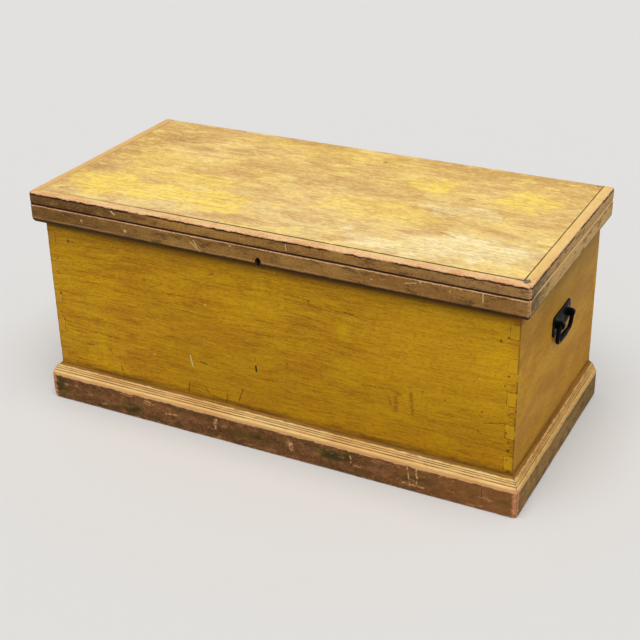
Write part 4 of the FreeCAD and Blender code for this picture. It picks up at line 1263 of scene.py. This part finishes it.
# %% Paint of the plinth
def plinth_paint(name, seed):
    """Rubbed tan moulding over a dark face with olive, black-green and bare patches."""
    f = Finish(name, "run")
    reach = plinth_reach / mm
    look = SimpleNamespace(
        reach=reach, base=plinth_face / mm,
        cloud=f.noise((0.007, 0.02, 0.03), 3, 0.6, seed + 5),
        olive=f.noise((0.02, 0.05, 0.05), 4, 0.66, seed + 7),
        chip=f.noise((0.07, 0.16, 0.16), 4, 0.66, seed + 10),
        wash=f.noise((0.05, 0.07, 0.075), 4, 0.66, seed + 14),
        grit=f.noise((0.25, 0.3, 0.3), 4, 0.7, seed + 28),
        scuffed=f.noise((0.16, 0.16, 0.16), 3, 0.65, seed + 47, f.world),
        rubbed=f.smooth(f.noise((0.028, 0.06, 0.09), 5, 0.7, seed + 9), 0.585, 0.68),
        side=f.smooth(f.y, front_y - reach + 6, front_y - reach + 40))
    look.fine, look.broad = grain_streaks(f, seed)
    chip, grit, base = look.chip, look.grit, look.base
    wave = f.noise((0.02, 0.05, 0.05), 2, 0.5, seed + 25)
    bitten = f.up + (chip - 0.5) * 8 + (grit - 0.5) * 5 + (wave - 0.5) * 8
    over = f.smooth(bitten, base - 2.0, base - 0.2)
    colour = f.mix(over, foot_face(f, seed, look), foot_wood(f, seed, look))
    rim = f.smooth(abs(bitten - base + 0.2), 2.4, 0.4) * f.smooth(look.scuffed, 0.4, 0.56)
    colour = f.over(colour, (rim * 0.45, (236, 180, 134)), (quirk_darkening(f, seed, look), (122, 78, 42)))
    cove = f.smooth(f.up + (chip - 0.5) * 2, base + 20.4, base + 21.2)
    cove_paint = f.coats(paint(146, 98, 28), (look.broad, 0.35, 0.6, 1.0, (112, 72, 20)))
    colour = f.mix(cove * 0.9, colour, cove_paint)
    foot = f.smooth(f.up + (chip - 0.5) * 8 + (grit - 0.5) * 5, 3.8, 2.0)
    colour = f.over(colour, (foot * f.smooth(look.scuffed, 0.4, 0.6) * 0.65, (200, 144, 104)))
    pink = f.coats(paint(222, 160, 112), (look.olive, 0.4, 0.6, 1.0, (196, 130, 84)))
    colour = mitre_wear(f, reach, colour, pink, chip, 12.0)
    rough = 0.55 + 0.2 * f.smooth(look.cloud, 0.3, 0.7)
    height = look.fine * 0.4 + look.broad * 0.4 - over * 0.3 + f.smooth(chip, 0.45, 0.7) * 0.3
    return f.close(colour, rough, height - look.rubbed * 0.4, 0.5)


foot_paint = plinth_paint("foot_paint", 23)
print("the plinth's paint takes", len(foot_paint.node_tree.nodes), "nodes")

# %% [markdown]
# The drop handles are japanned black, which reads almost as a hole in the picture, so they
# reflect very little. The hinges and the lock are greyer, worn iron, and the nails are
# browned by rust. Small pits in the bump keep the irons from looking cast in plastic.

# %% Black, worn and rusty iron
def iron_finish(name, dark, light, seed, shine, metallic=0.6, sheen=0.3):
    f = Finish(name, "x")
    cloud = f.noise((0.05, 0.05, 0.05), 4, 0.6, seed)
    pits = f.noise((0.7, 0.7, 0.7), 3, 0.55, seed + 2)
    colour = f.coats(paint(*dark), (cloud, 0.4, 0.65, 1.0, light))
    rough = shine + 0.25 * f.smooth(cloud, 0.35, 0.7)
    return f.close(colour, rough, pits * 0.5 + cloud * 0.5, 0.25, metallic, sheen)


black_iron = iron_finish("black_iron", (9, 8, 8), (20, 17, 16), 31, 0.3, 0.0, 0.04)
worn_iron = iron_finish("worn_iron", (66, 58, 50), (112, 98, 82), 35, 0.4)
nail_iron = iron_finish("nail_iron", (84, 62, 44), (60, 44, 34), 37, 0.55)
print("an iron takes", len(worn_iron.node_tree.nodes), "nodes")

# %% [markdown]
# The strip under the lid is drilled and sawn through for the key: a round eye above a
# parallel slot. The swept strip is solid, so the same shape is built as a prism and taken out
# of it with a boolean, in line with the keyhole of the front board behind it.

# %% Shape the keyhole
key_eye, key_slot, key_drop, key_below_top = 4.5 * mm, 2.5 * mm, 11.5 * mm, 27 * mm
cutter_overrun, cutter_depth = 2 * mm, 30 * mm


def keyhole_cutter():
    """A prism as wide as the lock plate's keyhole, that reaches through the strip."""
    middle = strip_high.z - key_below_top
    turn = math.asin(key_slot / key_eye)
    angles = [turn + step * (math.tau - 2 * turn) / 24 for step in range(25)]
    ring = [(-key_eye * math.sin(angle), middle - key_eye * math.cos(angle)) for angle in angles]
    ring += [(key_slot, middle - key_drop), (-key_slot, middle - key_drop)]
    cutter = bmesh.new()
    before = strip_low.y - cutter_overrun
    face = cutter.faces.new([cutter.verts.new((x, before, z)) for x, z in ring])
    grown = bmesh.ops.extrude_face_region(cutter, geom=[face])
    moved = [item for item in grown["geom"] if isinstance(item, bmesh.types.BMVert)]
    bmesh.ops.translate(cutter, verts=moved, vec=(0, cutter_depth, 0))
    bmesh.ops.recalc_face_normals(cutter, faces=cutter.faces)
    return as_mesh("keyhole_cutter", cutter)


def cut_through(mesh, cutter):
    """The mesh with the cutter's shape taken out of it."""
    carrier, tool = linked("cut", mesh), linked("tool", cutter)
    modifier = carrier.modifiers.new("keyhole", "BOOLEAN")
    modifier.operation = "DIFFERENCE"
    modifier.solver = "EXACT"
    modifier.object = tool
    done = plain_mesh(carrier)
    bpy.data.objects.remove(carrier)
    bpy.data.objects.remove(tool)
    return done


print("the keyhole is", round((key_eye + key_drop) / mm, 1), "mm high")

# %% [markdown]
# Now the three sets of mouldings are made: the plinth, the strip and the lid's edging, each
# with a front length mitred at both ends and two side lengths mitred at the front. The tree
# is evaluated once per length and the result is kept as a plain mesh in place of its CAD node.

# %% Make the mouldings
front_stations, side_stations = 400, 180
band_rounds = (8 * mm, 6.5 * mm)


def moulding_set(kind, outline, base, reach, rounds, foot, wear, finish, tight, body, seed):
    """The front and side lengths of one moulding; rounds are of the front and the side."""
    beads = (plinth_face + 5 * mm, plinth_high.z + mm) if kind == "plinth" else (1.0, 1.0)
    carrier = wire(kind + "_outline", outline, turn_marks(outline, tight, beads))
    front_left, front_right = [(x, carcass_front, base) for x in (-carcass_half, carcass_half)]
    back_left, back_right = [(x, carcass_back, base) for x in (-carcass_half, carcass_half)]
    sides = [("front", front_left, front_right, (0, -1, 0), 1.0, 1.0, front_stations),
             ("right", front_right, back_right, (1, 0, 0), 1.0, 0.0, side_stations),
             ("left", back_left, front_left, (-1, 0, 0), 0.0, 1.0, side_stations)]
    for place, (side, start, end, outward, first, last, count) in enumerate(sides):
        mesh = applied(carrier, moulding, {
            "Start": start, "End": end, "Outward": outward, "Start Mitre": first,
            "End Mitre": last, "Reach": reach, "Start Round": rounds[0 if side == "front" else 1],
            "End Round": rounds[0 if side == "left" else 1], "Foot Round": foot, "Wear": wear,
            "Stations": count, "Seed": float(seed + place), "Finish": finish})
        if kind + "_" + side == "strip_front":
            mesh = cut_through(mesh, keyhole_cutter())
        mesh.shade_smooth()
        mesh.set_sharp_from_angle(angle=math.radians(38))
        dressed(kind + "_" + side + "_dressed", mesh, finish, body, kind + "_" + side)
        print(kind, side, len(mesh.vertices), "points")
    bpy.data.objects.remove(carrier)


moulding_set("plinth", plinth_outline(), 0.0, plinth_reach, (4 * mm, 5 * mm), 5 * mm, 1.0 * mm,
             foot_paint, 6 * mm, "carcass", 1)
moulding_set("strip", strip_outline, strip_low.z, strip_reach, band_rounds, 0.0, 0.8 * mm,
             strip_paint, 2 * mm, "carcass", 5)
moulding_set("lid_edge", edge_outline, edge_low.z, strip_reach, band_rounds, 0.0, 1.0 * mm,
             edging_paint, 2 * mm, "lid", 9)

# %% [markdown]
# Four boards of the carcass and the back board of the lid keep their CAD shape, with the
# arrises that hands and boots reach eased by plane and wear. The lid's front board has no
# free arris, so it stays the CAD mesh and only gets its paint further on.

# %% Ease the boards
def near(value, target, room=0.2 * mm):
    return abs(value - target) < room


def corner_arris(point):
    """Whether a point lies on one of the carcass's four upright arrises."""
    outside = near(point.y, carcass_front) or near(point.y, carcass_back)
    return near(abs(point.x), carcass_half) and outside


def lid_arris(point):
    """Whether a point lies on the lid's top back arris."""
    return near(point.y, carcass_back) and near(point.z, lid_top)


for node, finish in (("front_board", front_paint), ("back_board", front_paint),
                     ("left_end_board", end_paint), ("right_end_board", end_paint)):
    worn_board(node + "_dressed", node, corner_arris, 1.3 * mm, 0.7 * mm, finish, "carcass",
               len(node))
eased_lid = worn_board("lid_board_back_dressed", "lid_board_back", lid_arris, 2 * mm, 0.9 * mm,
                       lid_finish, "lid", 3)
print("the lid's back board has", len(eased_lid.data.polygons), "faces")

# %% [markdown]
# Each set of fasteners is many copies of one. To copy one, its fasteners are told apart as
# islands of joined points, and each island tells where its head is: at the end of its long
# axis where it is thicker.

# %% Find the nails and screws of a node
def islands(node):
    """The node's merged mesh, and the points of each separate fastener in it."""
    whole = merged(node)
    left = set(whole.verts)
    found = []
    while left:
        group = {left.pop()}
        edge = list(group)
        while edge:
            reached = {link.other_vert(vert) for vert in edge for link in vert.link_edges}
            edge = list(reached - group)
            group |= reached
        left -= group
        found.append([vert.co.copy() for vert in group])
    return whole, found


def head_of(points):
    """Where a fastener's head is, and which way the head looks."""
    low = Vector([min(point[axis] for point in points) for axis in range(3)])
    high = Vector([max(point[axis] for point in points) for axis in range(3)])
    axis = max(range(3), key=lambda way: high[way] - low[way])
    middle = (low + high) / 2

    def girth(end):
        ring = [point for point in points if abs(point[axis] - end) < 0.1 * mm]
        return max((point - middle).length_squared - (point[axis] - middle[axis]) ** 2
                   for point in ring)

    sign = 1 if girth(high[axis]) > girth(low[axis]) else -1
    way = Vector((0, 0, 0))
    way[axis] = sign
    head = middle.copy()
    head[axis] = high[axis] if sign > 0 else low[axis]
    return head, way


print("the lid's edging has", len(islands("lid_edge_nails")[1]), "nails")

# %% [markdown]
# The second tree sets one fastener at every head. It aims each along its own hole and turns
# it about its length by chance, since nobody lines up the slots of screws.

# %% Place a fastener at every head
graph, given = tree_with("fasteners", "Fasteners", [
    ("Places", "Geometry"), ("Fastener", "Object"), ("Turn", "Float"), ("Seed", "Int"),
    ("Finish", "Material")])
fasteners = graph.tree
one = graph.node("GeometryNodeObjectInfo", {"transform_space": "ORIGINAL"},
                 {"Object": given["Fastener"]}, "Geometry")
aim = graph.node("FunctionNodeAlignRotationToVector", {"axis": "Z"},
                 {"Vector": named(graph, "FLOAT_VECTOR", "way")})
chance = graph.node("FunctionNodeRandomValue", {"data_type": "FLOAT"},
                    {2: 0.0, 3: 1.0, "Seed": given["Seed"]}, 1)
about = graph.node("FunctionNodeAxisAngleToRotation", None,
                   {"Axis": (0, 0, 1), "Angle": chance * given["Turn"]})
turned = graph.node("FunctionNodeRotateRotation", {"rotation_space": "LOCAL"},
                    {"Rotation": aim, "Rotate By": about})
finish_tree(graph, graph.node("GeometryNodeInstanceOnPoints", None,
                              {"Points": given["Places"], "Instance": one, "Rotation": turned}),
            given["Finish"])
print("the fastener tree has", len(fasteners.nodes), "nodes")

# %% [markdown]
# The first fastener of a set is lifted out of the CAD mesh and its rim is eased. Nails are
# sunk a little below the wood, and screws stay flush.

# %% Set every nail and screw
fastener_girth, fastener_length, fastener_rim = 6 * mm, 80 * mm, 1.5 * mm


def fastened(node, body, finish, ease, turn, sink, seed):
    """All fasteners of one CAD node, made again from one eased fastener of it."""
    whole, groups = islands(node)
    places = sorted((head_of(points) for points in groups), key=lambda place: tuple(place[0]))
    head, way = places[0]
    others = [vert for vert in whole.verts
              if (vert.co - head).cross(way).length > fastener_girth
              or abs((vert.co - head).dot(way)) > fastener_length]
    bmesh.ops.delete(whole, geom=others, context="VERTS")
    back = way.to_track_quat("Z", "Y").inverted()
    for vert in whole.verts:
        vert.co = back @ (vert.co - head)
    rims = [edge for edge in whole.edges if len(edge.link_faces) == 2
            and edge.calc_face_angle(0) > 0.7 and edge.verts[0].co.z > -fastener_rim]
    bevelled(whole, rims, ease, 2, 0.5)
    for vert in whole.verts:
        vert.co.z = min(vert.co.z, 0.0) - sink
    mesh = as_mesh(node + "_one", whole)
    points = bpy.data.meshes.new(node + "_places")
    points.from_pydata([place[0] for place in places], [], [])
    layer = points.attributes.new("way", "FLOAT_VECTOR", "POINT")
    layer.data.foreach_set("vector", [part for place in places for part in place[1]])
    carrier, pattern = linked(node + "_places", points), linked(node + "_one", mesh)
    made = applied(carrier, fasteners, {"Fastener": pattern, "Turn": turn, "Seed": seed,
                                        "Finish": finish})
    bpy.data.objects.remove(carrier)
    bpy.data.objects.remove(pattern)
    made.shade_smooth()
    made.set_sharp_from_angle(angle=math.radians(35))
    print(node, len(places), "places,", len(made.vertices), "points")
    dressed(node + "_dressed", made, finish, body, node)


nails = [("plinth_nails", "carcass"), ("strip_nails", "carcass"), ("bottom_nails", "carcass"),
         ("lid_edge_nails", "lid")]
screws = [("handle_right_screws", "carcass", black_iron),
          ("handle_left_screws", "carcass", black_iron), ("hinge_body_screws", "carcass", worn_iron),
          ("hinge_lid_screws", "lid", worn_iron), ("lock_screws", "carcass", worn_iron),
          ("lid_link_screws", "lid", worn_iron)]
for seed, (node, body) in enumerate(nails):
    fastened(node, body, nail_iron, 0.25 * mm, 0.0, 0.15 * mm, seed)
for seed, (node, body, finish) in enumerate(screws):
    fastened(node, body, finish, 0.12 * mm, math.tau, 0.0, 10 + seed)

# %% [markdown]
# Forged and cast irons never have knife edges, and a rounded arris is what catches the light
# on black metal. The irons are bevelled by a few tenths of a millimetre.

# %% Ease the irons
def eased_iron(node, ease, finish, body):
    """An iron with its arrises rounded off, in place of its CAD node."""
    iron = merged(node)
    arrises = [edge for edge in iron.edges
               if len(edge.link_faces) == 2 and edge.calc_face_angle(0) > 0.6]
    bevelled(iron, arrises, ease, 2, 0.5)
    mesh = as_mesh(node + "_dressed", iron)
    level(mesh)
    mesh.set_sharp_from_angle(angle=math.radians(40))
    dressed(node + "_dressed", mesh, finish, body, node)


irons = [("handle_right_plate", 0.5, black_iron, "carcass"),
         ("handle_left_plate", 0.5, black_iron, "carcass"),
         ("handle_right_bail", 0.5, black_iron, "right_bail"),
         ("handle_left_bail", 0.5, black_iron, "left_bail"),
         ("lock_plate", 0.3, worn_iron, "carcass"), ("lock_case", 0.4, worn_iron, "carcass"),
         ("lock_bolt", 0.3, worn_iron, "lock_bolt"), ("lid_link_plate", 0.3, worn_iron, "lid")]
for side in ("left", "right"):
    irons += [("hinge_" + side + "_body_leaf", 0.3, worn_iron, "carcass"),
              ("hinge_" + side + "_lid_leaf", 0.3, worn_iron, "lid"),
              ("hinge_" + side + "_pin", 0.3, worn_iron, "carcass")]
for node, ease, finish, body in irons:
    eased_iron(node, ease * mm, finish, body)
print(len(irons), "irons eased")

# %% [markdown]
# The pieces that are left keep their CAD meshes: the lid's front board, the bottom boards and
# the corner blocks, and the lock's spring. They only need a finish.

# %% Finish what is left
for name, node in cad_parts.items():
    if not node.hide_render:
        left = (lid_finish if "lid_board" in name
                else bare_pine if "bottom_board" in name or "corner" in name else worn_iron)
        node.data.materials.clear()
        node.data.materials.append(left)
        print(name, "gets", left.name)

# %% [markdown]
# A plain pale floor carries the shadow. One broad sun high above the front gives soft light
# with a weak even sky, which the camera and clear reflections see as plain white.

# %% Floor and light
lamp_angle, lamp_energy, sky_fill = math.radians(54), 2.55, 0.3
lamp_place, lamp_target = Vector((0.6, -1.3, 4.8)), Vector((0, 0, 0.2))
floor_half = 30
mesh = bpy.data.meshes.new("floor")
mesh.from_pydata([(x * floor_half, y * floor_half, 0)
                  for x, y in ((-1, -1), (1, -1), (1, 1), (-1, 1))], [], [(0, 1, 2, 3)])
mesh.materials.append(Finish("floor").close(paint(218, 217, 215), 0.9))
floor = linked("floor", mesh)
lamp = bpy.data.lights.new("sky", "SUN")
lamp.angle, lamp.energy = lamp_angle, lamp_energy
sky = linked("sky", lamp)
sky.location = lamp_place
sky.rotation_euler = (lamp_target - lamp_place).to_track_quat("-Z", "Y").to_euler()
world = bpy.data.worlds.new("studio")
world.use_nodes = True
bpy.context.scene.world = world
air = Graph(world.node_tree)
air.tree.nodes.clear()
rays = [air.node("ShaderNodeLightPath", output="Is " + kind + " Ray")
        for kind in ("Camera", "Glossy", "Transmission")]
soft, backdrop = [air.node("ShaderNodeBackground", None,
                           {"Color": (1, 1, 1, 1), "Strength": strength})
                  for strength in (sky_fill, 1.0)]
both = air.node("ShaderNodeMixShader", None,
                {0: air.kept(rays[0] + rays[1] + rays[2]), 1: soft, 2: backdrop})
air.node("ShaderNodeOutputWorld", None, {"Surface": both})
print("the sun looks down from", [round(part, 1) for part in sky.location], "m")

# %% [markdown]
# The camera stands where the photo was taken from. Its place, its three angles and its lens
# were found by fitting the chest's corners to the photo; a small shift crops it alike.

# %% Camera
yaw, pitch, roll = -0.4745, 0.4642, 0.0165
camera_place = (1.1205, -2.1665, 1.4269)
forward = Vector((math.sin(yaw) * math.cos(pitch), math.cos(yaw) * math.cos(pitch),
                  -math.sin(pitch)))
right = Vector((math.cos(yaw), -math.sin(yaw), 0))
down = forward.cross(right)
across = right * math.cos(roll) + down * math.sin(roll)
below = down * math.cos(roll) - right * math.sin(roll)
lens = bpy.data.cameras.new("camera")
lens.sensor_width, lens.lens = 36, 72.6
lens.shift_x, lens.shift_y = -0.009, -0.0155
camera = linked("camera", lens)
looking = Matrix((across, -below, -forward)).transposed().to_4x4()
camera.matrix_world = Matrix.Translation(camera_place) @ looking
bpy.context.scene.camera = camera
bpy.context.scene.view_settings.view_transform = "Standard"
print("the camera looks down by", round(math.degrees(pitch), 1), "degrees")

# %% [markdown]
